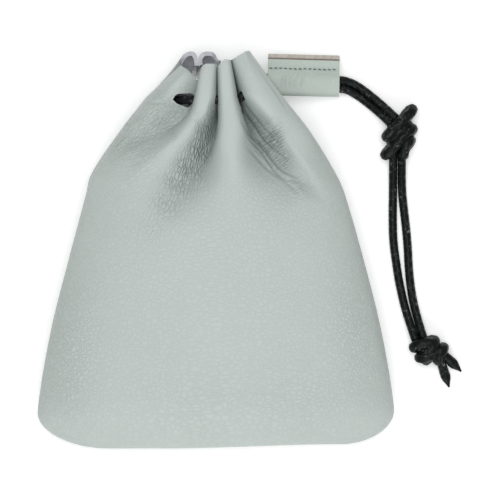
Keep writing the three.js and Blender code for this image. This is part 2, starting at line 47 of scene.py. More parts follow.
# Camera, straight above the purse: it sees VIEW_WIDTH at VIEW_LEVEL. The floor reaches FLOOR_HALF each way.
CAMERA_AT = (9.6 * MM, 0.0, 1.5)
VIEW_WIDTH = 140.5 * MM
VIEW_LEVEL = 6 * MM
SENSOR = 36.0
FLOOR_HALF = 1.5

# Sizes of the purse, as in the model's source but for its lower corners, which are set tighter here
PURSE_WIDTH = 100 * MM
PURSE_HEIGHT = 111.6 * MM
PURSE_DEPTH = 24 * MM
LEATHER = 1.2 * MM
CORNER_HEIGHT = 10.5 * MM
CORNER_REACH = {"left": 20 * MM, "right": 15 * MM}
BOTTOM_ROLL = 15 * MM
FRONT_FULLNESS = 2.3
BACK_FLAT = 0.62
NECK = 0.885
HALF_WIDTH = PURSE_WIDTH / 2
BOTTOM_Y = -PURSE_HEIGHT / 2
# How far the bottom seam rises to the right, between two shares of the half width, and how high it is felt
BOTTOM_RISE = 1.2 * MM
RISE_FROM, RISE_TO, RISE_FADE = -0.4, 1.0, 0.3
# The gap between both panels at their seams, and how far in it reaches from the sides and from the bottom
SEAM_GAP = 0.4 * MM
GAP_ACROSS, GAP_UP = 0.14, 0.12

# Sections of the purse from the bottom seam to the neck: up is a share of the height, left and right of half
# the width, depth and seam of the depth
SECTION_COLUMNS = ("up", "left", "right", "depth", "seam")
SECTIONS = dict(zip(SECTION_COLUMNS, np.array([
    (0.0, 1.0, 1.0, 0.86, 0.2),
    (0.1, 1.0, 1.0, 0.93, 0.27),
    (0.3, 0.924, 0.927, 1.0, 0.34),
    (0.475, 0.826, 0.83, 1.0, 0.36),
    (0.64, 0.728, 0.724, 0.96, 0.37),
    (0.69, 0.699, 0.675, 0.94, 0.38),
    (0.8, 0.536, 0.523, 0.9, 0.4),
    (NECK, 0.388, 0.372, 0.86, 0.42),
]).T))

# Folds of each panel from its left seam to its right seam. across is the place along the panel, neck the
# place at the drawstring, as shares of the half width and depth there, and rim the place at the mouth, as
# shares of the purse's half width, height and depth. tight and close belong to a valley's left and right
# side: how sharply it closes, and the share of the height at which it has done so. A ridge's rim is as
# straight as straight says, and bulges sideways by bulge, a share of the half width. curl turns the rim up.
# gather and fade are the shares of the height between which the fold dies out, its depth sooner than its
# width by the power shallow.
GATHER, SEAM_FADE = 0.88, 0.6


def fold(kind, across, neck, rim, tight=(0, 0), close=(1, 1), straight=0, bulge=0, curl=0, shallow=1,
         gather=GATHER, fade=SEAM_FADE):
    return dict(kind=kind, across=across, neck=neck, rim=rim, tight=tight, close=close, straight=straight,
                bulge=bulge, curl=curl, shallow=shallow, gather=gather, fade=fade)


LEFT_SEAM = fold("seam", 0, (-1, 0.42), (-0.198, 0.963, 0.47), tight=(1, 1), close=(0.8, 0.8))
RIGHT_SEAM = fold("seam", 1, (1, 0.66), (0.191, 1.0, 0.36), tight=(1, 1), close=(0.8, 0.8))
FRONT_FOLDS = [
    LEFT_SEAM,
    fold("ridge", 0.1, (-0.72, 0.86), (-0.158, 0.952, 0.66), straight=1, curl=1, fade=0.72),
    fold("valley", 0.19, (-0.31, 0.66), (-0.09, 0.923, 0.6), tight=(0.2, 0.9), close=(0.85, 0.86),
         curl=1, shallow=2.5, gather=0.86, fade=0.71),
    fold("ridge", 0.27, (-0.15, 1.0), (-0.031, 0.965, 0.8), fade=0.65),
    fold("valley", 0.395, (0.025, 0.45), (0.0084, 0.956, 0.6), tight=(1, 1), close=(0.905, 0.79),
         gather=0.83, fade=0.54),
    fold("ridge", 0.534, (0.17, 1.01), (0.048, 0.976, 0.83), straight=1, fade=0.5),
    fold("valley", 0.72, (0.335, 0.38), (0.086, 0.975, 0.55), tight=(1, 1), close=(0.82, 0.925),
         gather=0.83, fade=0.62),
    fold("ridge", 0.84, (0.67, 0.97), (0.165, 0.996, 0.72), straight=1, fade=0.58),
    RIGHT_SEAM,
]
BACK_FOLDS = [
    LEFT_SEAM,
    fold("ridge", 0.14, (-0.64, 0), (-0.138, 0.998, 0.5), bulge=0.006, curl=1, fade=0.62),
    fold("valley", 0.27, (-0.42, 0.27), (-0.094, 0.958, 0.5), tight=(0.5, 0.5), close=(0.8, 0.8), curl=1,
         fade=0.6),
    fold("ridge", 0.38, (-0.21, 0), (-0.043, 0.998, 0.51), bulge=0.018, curl=1, fade=0.58),
    fold("valley", 0.5, (0, 0.27), (-0.002, 0.96, 0.21), tight=(0.6, 0.6), close=(0.8, 0.8), fade=0.56),
    fold("ridge", 0.62, (0.2, 0), (0.053, 0.973, 0.06), fade=0.58),
    fold("valley", 0.73, (0.4, 0.27), (0.095, 0.973, 0.22), tight=(0.6, 0.6), close=(0.8, 0.8), fade=0.6),
    fold("ridge", 0.84, (0.56, 0.01), (0.13, 0.98, 0.14), fade=0.62),
    fold("valley", 0.93, (0.7, 0.56), (0.162, 0.985, 0.28), tight=(1, 1), close=(0.8, 0.8), fade=0.7),
    RIGHT_SEAM,
]

# The share of the height over which a valley closes, and how square a tight pleat is: 1 is round
CLOSE_SPAN = 0.11
PLEAT_SQUARE = 0.54

# The drawstring: its size, the ring that it makes inside the pleats, and the middle between both strands
# where they leave the purse
CORD = 2.1 * MM
CORD_CLEARANCE = 0.4 * MM
PIECE_GAP = 0.3 * MM
STRAND_SPREAD = CORD + PIECE_GAP
LOOP = {
    "left": 0.28, "right": 0.265, "front": 0.67, "back": 0.145, "left_up": 0.876, "right_up": 0.936,
    "rise_from": 0.45, "rise_to": 0.95,
}
LOOP_POINTS = 14
EXIT_ANGLE = 0.22 * math.pi
EXIT_HOLE = 4.6 * MM
EXIT_HOLE_RISE = 1.5 * MM
EXIT = np.array([
    LOOP["right"] * HALF_WIDTH + CORD / 2 - CORD_CLEARANCE,
    BOTTOM_Y + 0.9217 * PURSE_HEIGHT,
    0.347 * PURSE_DEPTH,
])

# The slit's outline, and between which heights it is open
SLIT = [
    (-12.0, 42.0), (-10.8, 40.9), (-9.2, 40.3), (-7.6, 39.8),
    (-6.6, 41.6), (-6.4, 43.6), (-8.6, 43.7), (-10.9, 43.4),
]
SLIT_DEEP = (9.5, 21.0)

# Routes of the free cord, as offsets from the exit across and along the purse, and heights above the surface
STRAND_FRONT = [
    (0.3, 1.2, 8.25), (3.4, 1.15, 7.4), (6.8, 1.1, 6.5), (10.2, 1.05, 5.6), (13.6, 1, 4.65), (17, 0.9, 3.75),
    (20.3, 0.8, 2.85), (22.4, 0.6, 2.2), (24.0, 0.1, 1.8), (25.65, -0.7, 1.6), (27.35, -1.8, 1.55),
    (29.45, -3.4, 1.75), (31.85, -5.4, 2.3), (34.3, -7.6, 3), (36.85, -10, 3.6),
]
STRAND_BACK = [
    (0.3, -1.2, 8.25), (3.4, -1.25, 7.4), (6.8, -1.3, 6.5), (10.2, -1.35, 5.6), (13.6, -1.4, 4.65),
    (17, -1.5, 3.75), (20.2, -1.55, 2.85), (22.2, -1.8, 2.2), (23.75, -2.25, 1.7), (25.25, -3.1, 1.35),
    (26.8, -4.1, 1.2), (28.65, -5.5, 1.45), (30.75, -7.25, 2.1), (33, -9.25, 2.9), (35.35, -11.6, 3.6),
]
RUN_LEFT = [
    (36, -23.2, 2.9), (36, -26, 2.1), (36, -28.7, 1.4), (36, -31.5, 1.1), (35.95, -35.4, 1.1),
    (35.95, -39.3, 1.1), (36.05, -43.2, 1.1), (36.4, -47.1, 1.1), (36.95, -51, 1.1), (37.6, -55.2, 1.1),
    (38.3, -58.7, 1.1), (39.1, -62.2, 1.25), (40.1, -65.7, 1.65), (41.2, -69.1, 2.4), (42.27, -72.46, 3.1),
]
RUN_RIGHT = [
    (38.45, -23.2, 2.9), (38.45, -26, 2.1), (38.5, -28.7, 1.4), (38.65, -31.5, 1.1), (39.05, -35.4, 1.1),
    (39.5, -39.3, 1.1), (39.9, -43.2, 1.1), (40.2, -47.1, 1.1), (40.4, -51, 1.1), (40.75, -55.2, 1.1),
    (41.2, -58.7, 1.1), (41.85, -62.2, 1.25), (42.7, -65.6, 1.65), (43.6, -68.75, 2.3), (44.54, -71.8, 2.95),
]

# Wraps of each knot, placed as the routes are: x, y, z, half the length and half the height of the wrap's
# middle line, and the heading of its band in degrees. Its width and height follow WRAP in shares, it slips
# sideways by WRAP_SLIP in millimetres, and it swells by the share WRAP_SWELL.
WRAP = 2.6 * MM
WRAP_WIDE, WRAP_FLAT = 1.08, 0.93
WRAP_SLIP, WRAP_SWELL = 0.25, 0.06
UPPER_WRAPS = [
    (37.8, -11.4, 3.6, 5.3, 2.1, 47),
    (37.8, -14.2, 3.4, 3.4, 1.9, 48),
    (37.6, -16.6, 3.6, 5.3, 2.1, 44),
    (39.6, -18.2, 3.3, 2.5, 1.8, 62),
]
UPPER_CORES = [
    [(36.9, -9.9, 3.6), (38, -13.5, 3.6), (38.4, -18.5, 3.4), (38.45, -23.2, 2.9)],
    [(35.25, -11.7, 3.6), (36.1, -14.8, 3.6), (36.1, -18.5, 3.4), (36, -23.2, 2.9)],
]
END_WRAPS = [
    (44.8, -73.5, 3.3, 3.1, 1.8, 16),
    (46.7, -76.4, 3.3, 3.5, 1.8, 20),
    (46.4, -75.3, 3.4, 3.0, 1.9, 66),
    (49.3, -76.2, 3.1, 2.0, 1.6, 67),
    (45.5, -75.0, 3.0, 2.4, 1.6, -32),
]
END_CORES = [
    [(42.27, -72.46, 3.1), (43.4, -74.6, 3.2), (45.5, -76.0, 3.1), (48.5, -77.6, 2.3)],
    [(44.54, -71.8, 2.95), (45.6, -74.0, 3.2), (47.6, -75.4, 3.0), (50.2, -77.8, 2.2)],
]
# Tails: x, y, z, length and heading in degrees. A tail narrows over TAIL_TIP. In shares of the cord's size,
# its full width, its nub, how flat the nub is and its swell, and the height in millimetres it comes down to
TAILS = [
    (48.8, -76.4, 2.0, 9.8, -72),
    (49.8, -76.0, 2.0, 7.6, -44),
]
TAIL_TIP = 3.4 * MM
TAIL_WIDE, TAIL_NUB, TAIL_FLAT, TAIL_SWELL = 1.06, 0.22, 0.55, 0.12
TAIL_LEVEL = 1.25

# The braid stands a little proud of the cord's mean size: its yarns each way, their pitch, the depth of its
# grooves as a share of the radius, and how sharply the yarns change places
CORD_PROUD = 1.15
BRAID_STRANDS = 4
BRAID_PITCH = 2.6 * MM
BRAID_DEPTH = 0.1
BRAID_CHANGE = 1.4

# The slider round both strands: its flap, the step between the flap's ends, its wall, its turn in radians,
# its section and the start of its flap in shares of its half width and height, and its slight wave
SLIDER_LENGTH = 21 * MM
SLIDER_FLAP = 4.4 * MM
SLIDER_STEP = 1.4 * MM
SLIDER_WALL = 1.1 * MM
SLIDER_ANGLE = -0.017
SLIDER_SECTION = [(-1, 0), (-0.85, 0.72), (-0.35, 1), (0.4, 1), (0.95, 0.58)]
FLAP_START = 1.35
SLIDER_INSIDE = CORD + 2 * PIECE_GAP
SLIDER_TUBE = 2 * CORD + 3 * PIECE_GAP + 2 * SLIDER_WALL
SLIDER_BEVEL = 0.45 * MM
SLIDER_WAVE = 0.05 * MM
# The stitches that hold the flap: how far from its lower end, their pitch, length and thickness, how far
# each lies askew, and how deep they draw the leather in
STITCH_FROM_END = 4.1 * MM
STITCH_AT = SLIDER_TUBE / 2 + SLIDER_FLAP - STITCH_FROM_END
STITCH_PITCH = 1.42 * MM
STITCH_LENGTH = 1.05 * MM
STITCH_THICK = 0.3 * MM
STITCH_STRAY = 0.06 * MM
STITCH_DRAW = 0.13 * MM
# Soft wrinkles over the tube: where they start along it
WRINKLES = (4.2, 5.3, 6.6, 8.1, 9.9)
WRINKLE_DEPTH = 0.34 * MM

# Grain and crumples of the front, in millimetres across and along the purse

# Where the grain stands out: x, y, reach across and along, and strength from 0 to 1
PEBBLE_SPOTS = [
    (-42, -28, 9, 24, 0.5),
    (42, -18, 9, 26, 0.5),
    (-13, 38.6, 6, 4, 1.0),
    (-17, 35, 6, 5, 1.0),
    (-23, 32, 8, 7, 0.7),
    (20, 24, 8, 12, 0.3),
    (25, -45, 20, 10, 0.25),
    (-5, -45, 20, 10, 0.2),
]
# Where the leather is drawn into a net of wrinkles by the gathers, in the same columns
CRUMPLE_SPOTS = [
    (-0.9, 38, 2.2, 5, 0.85),
    (-2.6, 33, 3.4, 5, 1.0),
    (-4.6, 28, 4.2, 5, 1.0),
    (-7.6, 23.4, 4.8, 5, 0.85),
    (-10.4, 18.6, 5.2, 5, 0.62),
    (-13.5, 13, 5.6, 5.5, 0.42),
    (-17, 7, 6.5, 6, 0.24),
    (-12, 38.6, 4.2, 3.2, 0.45),
    (-15.5, 35.6, 4.6, 3.4, 0.5),
    (-20, 32.4, 5.4, 3.6, 0.35),
    (-17, 44, 4, 3.4, 0.3),
    (12.5, 36, 4.2, 4.6, 0.75),
    (16, 31, 4.6, 5, 0.75),
    (19.6, 25.4, 4.6, 5, 0.6),
    (23, 19, 5, 6, 0.35),
]
# Where the leather is stretched smooth over the ridges, in the same columns
SMOOTH_SPOTS = [
    (3.2, 38, 2.6, 16, 1.0),
    (2.4, 26, 3.4, 8, 0.9),
    (13, 43, 3.4, 8, 0.8),
    (-3.5, 44, 2, 8, 0.9),
    (-8.5, 35, 2.6, 5, 0.8),
    (-13.5, 29.5, 3.4, 4, 0.6),
    (23, 30, 3.6, 9, 0.5),
]
# The net's cells follow the pull towards the neck: its middle, the angle and the length of a cell on the
# left of the smooth ridge, where the folds stretch them, and on its right, where they lie across
PULL_AT = (1.7, 59)
CELL_LEFT = (0.02, 2.1)
CELL_RIGHT = (0.09, 0.75)
RIDGE_X = 3.4
# How far a crease sinks where its painted shade is darkest, and how high its lips stand, as a share of its
# depth
CREASE_SHADE_DEPTH = 0.45 * MM
CREASE_LIP = 0.35
# How strong the grain is away from the spots, and the width of a panel laid flat, in millimetres
FRONT_PEBBLE, BACK_PEBBLE, BACK_CRUMPLE = 0.38, 0.45, 0.6
FLAT_WIDTH = 1.1 * PURSE_WIDTH / MM
# Where painted shade darkens the gathers: how far under the crests, as shares of their height, and how far
# up and in from the seams, as shares of the panel
DEEP_UNDER, DEEP_SPAN = 0.93, 0.62
DEEP_FROM, DEEP_ASIDE, DEEP_FADE = 0.58, 0.12, 0.16
# Long creases: points of a curve, the depth, and half the width, and how far from its middle a crease is
# worked out
CREASE_REACH = (12, 16)
CREASES = [
    ([(7.3, 38.9), (10.2, 35.0), (13.7, 30.0), (17.4, 26.9), (20.2, 24.6)], 0.5, 0.38),
    ([(7.3, 35.7), (9.8, 31.8), (13.0, 28.9), (16.2, 24.6), (19.5, 21.7), (23.0, 20.3)], 0.62, 0.38),
    ([(8.0, 33.2), (10.1, 30.3), (12.7, 27.8), (16.2, 22.5), (19.8, 19.6), (23.7, 19.2)], 0.55, 0.38),
    ([(8.7, 28.9), (14.4, 22.8), (16.6, 21.1), (20.9, 17.8), (24.4, 14.2)], 0.36, 0.45),
    ([(7.5, 41.5), (10.6, 37.4), (14.6, 32.6), (18.4, 28.4)], 0.4, 0.36),
    ([(-11.9, 42.3), (-15.5, 41.0), (-19.5, 41.0), (-23.6, 42.2)], 0.22, 0.45),
    ([(-12.5, 41.0), (-16.5, 38.4), (-20.5, 37.2), (-26.0, 36.6)], 0.16, 0.5),
    ([(12.6, 49.6), (15.0, 46.2), (17.2, 43.2), (20.2, 38.2)], 0.3, 0.4),
]

# Colours
SAGE = (0.49, 0.545, 0.52)
# The colour of the painted shade in the leather's creases and gathers
SAGE_PAINTED_SHADE = (0.2, 0.245, 0.23)
# The colour of the painted shadow where the slider's upper flap ends on the lower one
STEP_SHADOW = (0.1, 0.07, 0.055)
PALE_WAX = (0.3, 0.34, 0.33)

# Soft lights: name, place, size and power
SOFTBOXES = [
    ("overhead", (0.0, 0.15, 1.1), (0.8, 0.8), 7.0),
    ("near", (0.0, -1.0, 0.7), (0.9, 0.6), 5.0),
]

# How finely the pieces are divided
PANEL_COLUMNS = 205
BODY_ROWS, SHOULDER_ROWS = 88, 128
SHOULDER = 0.55
CORD_SIDES = 32
CORD_PITCH = 0.19 * MM
PATH_STEPS = 40
TUBE_SIDES = 20
SLIDER_ROWS, SLIDER_OUTLINE = 130, 150
STITCH_RINGS, STITCH_SIDES = 9, 8
# How often the directions into the leather are evened, so that its inner face stays inside at sharp folds
INWARD_SMOOTHING = 3


def clamp01(t):
    return np.clip(t, 0.0, 1.0)


def smooth(t):
    """An even step from 0 to 1: three squares less two cubes."""
    return clamp01(t) ** 2 * (3 - 2 * clamp01(t))


def round_edge(t):
    """A quarter circle from 0 to 1: the root of one less the square of what is left."""
    return np.sqrt(1 - (1 - clamp01(t)) ** 2)


def mix(a, b, t):
    return a + (b - a) * t


def unit(v):
    """Vectors brought to the length 1."""
    return v / np.maximum(np.linalg.norm(v, axis=-1, keepdims=True), 1e-12)


def from_exit(rows):
    """Points of a route in the frame's own coordinates, from offsets in millimetres."""
    rows = np.array(rows, float) * MM
    return rows + np.array([EXIT[0], EXIT[1], 0.0])


# Meshes

def add_piece(name, points, faces, materials, face_material=None):
    """A piece with its place in its mesh: points, four-cornered faces and, for each face, which material."""
    mesh = bpy.data.meshes.new(name)
    mesh.vertices.add(len(points))
    mesh.vertices.foreach_set("co", np.ascontiguousarray(points, np.float32).ravel())
    mesh.loops.add(faces.size)
    mesh.loops.foreach_set("vertex_index", np.ascontiguousarray(faces, np.int32).ravel())
    mesh.polygons.add(len(faces))
    mesh.polygons.foreach_set("loop_start", np.arange(0, faces.size, faces.shape[1], dtype=np.int32))
    for material in materials:
        mesh.materials.append(material)
    if face_material is not None:
        mesh.polygons.foreach_set("material_index", np.ascontiguousarray(face_material, np.int32))
    mesh.update(calc_edges=True)
    mesh.shade_smooth()
    piece = bpy.data.objects.new(name, mesh)
    bpy.context.scene.collection.objects.link(piece)
    return piece


def give_uv(piece, uv, name="leather"):
    """A UV map from one (u, v) pair for each vertex."""
    mesh = piece.data
    corner = np.empty(len(mesh.loops), np.int32)
    mesh.loops.foreach_get("vertex_index", corner)
    mesh.uv_layers.new(name=name).data.foreach_set("uv", uv[corner].astype(np.float32).ravel())


def give_value(piece, name, values):
    """A named number for each vertex."""
    layer = piece.data.attributes.new(name, "FLOAT", "POINT")
    layer.data.foreach_set("value", np.ascontiguousarray(values, np.float32))


def grid_faces(rows, columns, close=False):
    """Four-cornered faces of a grid of points that runs row by row, its last column joined to the first
    where it closes."""
    r = np.arange(rows - 1)[:, None]
    c = np.arange(columns if close else columns - 1)[None, :]
    after = (c + 1) % columns
    corners = [r * columns + c, r * columns + after, (r + 1) * columns + after, (r + 1) * columns + c]
    return np.stack(corners, axis=-1).reshape(-1, 4)


def capped_faces(rings, sides):
    """Faces of a tube's rings, and a cap of strips across the first and the last ring."""
    k = np.arange(sides // 2 - 1)
    cap = np.stack([k, sides - 1 - k, sides - 2 - k, k + 1], axis=1)
    return np.vstack([grid_faces(rings, sides, close=True), cap, cap[:, ::-1] + (rings - 1) * sides])


def lengths_along(path):
    """How far along a path each of its points is."""
    return np.concatenate([[0], np.cumsum(np.linalg.norm(np.diff(path, axis=0), axis=1))])


def cubic(a, b, slope_a, slope_b, t):
    """From a to b as t goes from 0 to 1, with the slopes given at both ends."""
    return (
        (2 * t**3 - 3 * t**2 + 1) * a
        + (t**3 - 2 * t**2 + t) * slope_a
        + (3 * t**2 - 2 * t**3) * b
        + (t**3 - t**2) * slope_b
    )


def smooth_path(points, count):
    """A curve through points in equal steps: a cubic between each pair, whose end slopes come from the spans
    beside it, each span timed by the square root of its length."""
    p = np.asarray(points, float)
    p = np.vstack([2 * p[0] - p[1], p, 2 * p[-1] - p[-2]])
    step = np.diff(p, axis=0)
    time = np.sqrt(np.linalg.norm(step, axis=1))[:, None]
    t0, t1, t2 = time[:-2], time[1:-1], time[2:]
    start = (step[:-2] / t0 - (p[2:-1] - p[:-3]) / (t0 + t1) + step[1:-1] / t1) * t1
    end = (step[1:-1] / t1 - (p[3:] - p[1:-2]) / (t1 + t2) + step[2:] / t2) * t1
    t = np.linspace(0, 1, PATH_STEPS, endpoint=False)[None, :, None]
    fine = cubic(*(v[:, None, :] for v in (p[1:-2], p[2:-1], start, end)), t)
    fine = np.vstack([fine.reshape(-1, 3), p[-2]])
    length = lengths_along(fine)
    even = np.linspace(0, length[-1], count)
    return np.stack([np.interp(even, length, fine[:, k]) for k in range(3)], axis=1)


def path_length(path):
    return float(np.linalg.norm(np.diff(path, axis=0), axis=1).sum())


def ring_directions(tangent, side):
    """Two directions square to a path, the first of them as near to side as it can be."""
    first = unit(side - (side * tangent).sum(1, keepdims=True) * tangent)
    return first, np.cross(tangent, first)


# Braided cord

def braid_height(angle, length):
    """How far the braid stands out, from 0 to 1: yarns wind both ways round the cord and take turns on top,
    each with a round back, so the height is the square of a cosine across whichever yarn is on top."""
    turn = 2 * math.pi * length / BRAID_PITCH
    right, left = BRAID_STRANDS * angle + turn, BRAID_STRANDS * angle - turn
    on_top = smooth(0.5 + BRAID_CHANGE * np.cos(BRAID_STRANDS * angle) * np.cos(turn))
    return on_top * np.cos(right / 2) ** 2 + (1 - on_top) * np.sin(left / 2) ** 2


def cord_tube(path, side, closed=False, radius=CORD / 2, flat=1.0):
    """Points of a braided cord along a path, a ring of CORD_SIDES at each step: the path's point, plus the
    radius and its braid turned round the path, starting from the direction side. flat squashes it
    upright."""
    if closed:
        tangent = unit(np.roll(path, -1, axis=0) - np.roll(path, 1, axis=0))
    else:
        tangent = unit(np.gradient(path, axis=0))
    first, second = ring_directions(tangent, np.broadcast_to(np.asarray(side, float), path.shape))
    length = lengths_along(path)[:, None]
    if closed:
        whole = length[-1] + np.linalg.norm(path[0] - path[-1])
        length = length / whole * max(1, round(float(whole[0]) / BRAID_PITCH)) * BRAID_PITCH
    angle = np.linspace(0, 2 * math.pi, CORD_SIDES, endpoint=False)[None, :]
    size = np.broadcast_to(radius, len(path))[:, None]
    squash = np.broadcast_to(flat, len(path))[:, None]
    out = CORD_PROUD * size * (1 - BRAID_DEPTH * (1 - braid_height(angle, length)))
    points = (
        path[:, None, :]
        + (out * np.cos(angle))[..., None] * first[:, None, :]
        + (out * squash * np.sin(angle))[..., None] * second[:, None, :]
    )
    around = np.broadcast_to(angle / (2 * math.pi), out.shape)
    along = np.broadcast_to(length / BRAID_PITCH, out.shape)
    return points.reshape(-1, 3), np.stack([around.ravel(), along.ravel()], axis=1)


def closed_tube_faces(steps):
    """Faces of a tube's rings, the last ring joined to the first."""
    k = np.arange(CORD_SIDES)
    last = (steps - 1) * CORD_SIDES
    after = (k + 1) % CORD_SIDES
    join = np.stack([last + k, last + after, after, k], axis=1)
    return np.vstack([grid_faces(steps, CORD_SIDES, close=True), join])


def join_parts(parts):
    """Points, UVs and faces of several parts as those of one mesh."""
    offsets = np.cumsum([0] + [len(points) for points, _, _ in parts[:-1]])
    points = np.vstack([part[0] for part in parts])
    uv = np.vstack([part[1] for part in parts])
    faces = np.vstack([part[2] + offset for part, offset in zip(parts, offsets)])
    return points, uv, faces


def cord_part(points, side=(0, 0, 1)):
    """One open length of braided cord through a few points."""
    rough = smooth_path(points, 60)
    path = smooth_path(points, max(12, int(path_length(rough) / CORD_PITCH)))
    return *cord_tube(path, side), capped_faces(len(path), CORD_SIDES)


def wrap_part(x, y, z, half, rise, heading):
    """One wrap of a knot: a closed ring of cord on edge, seen from above as a band along its heading. It
    slips and swells a little by sines of its own turn."""
    count = int(math.pi * (half + rise) * MM / CORD_PITCH)
    turn = np.linspace(0, 2 * math.pi, count, endpoint=False)
    direction = math.radians(heading)
    flat = half * np.cos(turn)
    slip = WRAP_SLIP * np.sin(2 * turn + heading)
    path = np.stack([
        x + flat * math.cos(direction) - slip * math.sin(direction),
        y + flat * math.sin(direction) + slip * math.cos(direction),
        z + rise * np.sin(turn),
    ], axis=1)
    width = WRAP_WIDE * WRAP / 2 * (1 + WRAP_SWELL * np.sin(3 * turn + heading))
    side = (-math.sin(direction), math.cos(direction), 0)
    tube = cord_tube(from_exit(path), side, closed=True, radius=width, flat=WRAP_FLAT)
    return *tube, closed_tube_faces(count)


def tail_part(x, y, z, length, heading):
    """A short end of cord, lying down to the surface and pinched to a point: its width follows the cord,
    swells a little where it is pressed and closes over the last TAIL_TIP to a small nub."""
    direction = math.radians(heading)
    count = int(length * MM / CORD_PITCH)
    s = np.linspace(0, length * MM, count)
    lowered = mix(z, TAIL_LEVEL, smooth(s / (0.6 * length * MM))) * MM
    start = from_exit([(x, y, 0)])[0]
    path = np.stack([
        start[0] + s * math.cos(direction),
        start[1] + s * math.sin(direction),
        lowered,
    ], axis=1)
    back = (length * MM - s) / TAIL_TIP
    pressed = 1 + TAIL_SWELL * np.exp(-(((back - 1.1) / 0.5) ** 2))
    radius = TAIL_WIDE * CORD / 2 * pressed * mix(TAIL_NUB, 1, smooth(back / 0.95) ** 0.8)
    squash = mix(TAIL_FLAT, 1.0, smooth(back / 1.8))
    tube = cord_tube(path, (-math.sin(direction), math.cos(direction), 0), radius=radius, flat=squash)
    return *tube, capped_faces(count, CORD_SIDES)


# Materials

def new_material(name):
    """An empty material with its shader linked to its output."""
    material = bpy.data.materials.new(name)
    material.use_nodes = True
    tree = material.node_tree
    tree.nodes.clear()
    shader = tree.nodes.new("ShaderNodeBsdfPrincipled")
    output = tree.nodes.new("ShaderNodeOutputMaterial")
    tree.links.new(shader.outputs["BSDF"], output.inputs["Surface"])
    return material, tree, shader


def feed(tree, socket, value):
    """Links another node's socket to an input, or sets the input to a value."""
    if isinstance(value, bpy.types.NodeSocket):
        tree.links.new(value, socket)
    else:
        socket.default_value = value


def node(tree, kind, settings=None, **inputs):
    """A node with its settings and its inputs, named by their names or as i0, i1 and so on by their
    places."""
    made = tree.nodes.new(kind)
    for key, value in (settings or {}).items():
        setattr(made, key, value)
    for key, value in inputs.items():
        by_place = key[0] == "i" and key[1:].isdigit()
        feed(tree, made.inputs[int(key[1:]) if by_place else key.replace("_", " ")], value)
    return made


def ramp(tree, factor, stops):
    """A grey ramp through (place, value) stops."""
    made = tree.nodes.new("ShaderNodeValToRGB")
    elements = made.color_ramp.elements
    while len(elements) < len(stops):
        elements.new(0.5)
    for element, (place, value) in zip(elements, stops):
        element.position = place
        element.color = (value, value, value, 1)
    tree.links.new(factor, made.inputs["Fac"])
    return made.outputs["Color"]


def math_node(tree, operation, a, b):
    return node(tree, "ShaderNodeMath", {"operation": operation}, i0=a, i1=b).outputs[0]


def product(tree, a, b):
    return math_node(tree, "MULTIPLY", a, b)


def mix_colour(tree, factor, a, b):
    """A colour between a and b, each a colour or another node's socket."""
    made = tree.nodes.new("ShaderNodeMix")
    made.data_type = "RGBA"
    for name, value in (("Factor_Float", factor), ("A_Color", a), ("B_Color", b)):
        socket = next(s for s in made.inputs if s.identifier == name)
        feed(tree, socket, (*value, 1) if isinstance(value, tuple) else value)
    return next(s for s in made.outputs if s.identifier == "Result_Color")


def noise(tree, place, scale, detail=2.0, roughness=0.5, output="Fac"):
    made = node(tree, "ShaderNodeTexNoise", Vector=place, Scale=scale, Detail=detail, Roughness=roughness)
    return made.outputs[output]


def cells(tree, place, scale, stops, randomness=1.0):
    """Cells of grain: a ramp of the distance to the nearest edge between two cells."""
    made = node(tree, "ShaderNodeTexVoronoi", {"feature": "DISTANCE_TO_EDGE"}, Vector=place, Scale=scale,
                Randomness=randomness)
    return ramp(tree, made.outputs["Distance"], stops)


def object_place(tree):
    return node(tree, "ShaderNodeTexCoord").outputs["Object"]


def flat_place(tree, name):
    """The place on the leather laid flat, from a UV map."""
    return node(tree, "ShaderNodeUVMap", {"uv_map": name}).outputs["UV"]


def vertex_value(tree, name):
    return node(tree, "ShaderNodeAttribute", {"attribute_name": name}).outputs["Fac"]


def strayed(tree, place, stray, reach):
    """A place moved off by a noise's colour times reach."""
    moved = node(tree, "ShaderNodeVectorMath", {"operation": "MULTIPLY_ADD"}, i0=stray, i1=(reach, reach, 0),
                 i2=place)
    return moved.outputs["Vector"]


def finish_surface(tree, shader, colour, height, distance, strength=1.0):
    """Links the colour and a bump of the height to the shader."""
    tree.links.new(colour, shader.inputs["Base Color"])
    bump = node(tree, "ShaderNodeBump", Height=height, Distance=distance, Strength=strength)
    tree.links.new(bump.outputs["Normal"], shader.inputs["Normal"])


def set_roughness(tree, shader, factor, low, high):
    """A roughness from low to high as the factor goes from 0 to 1."""
    rough = node(tree, "ShaderNodeMapRange", Value=factor, To_Min=low, To_Max=high).outputs["Result"]
    tree.links.new(rough, shader.inputs["Roughness"])


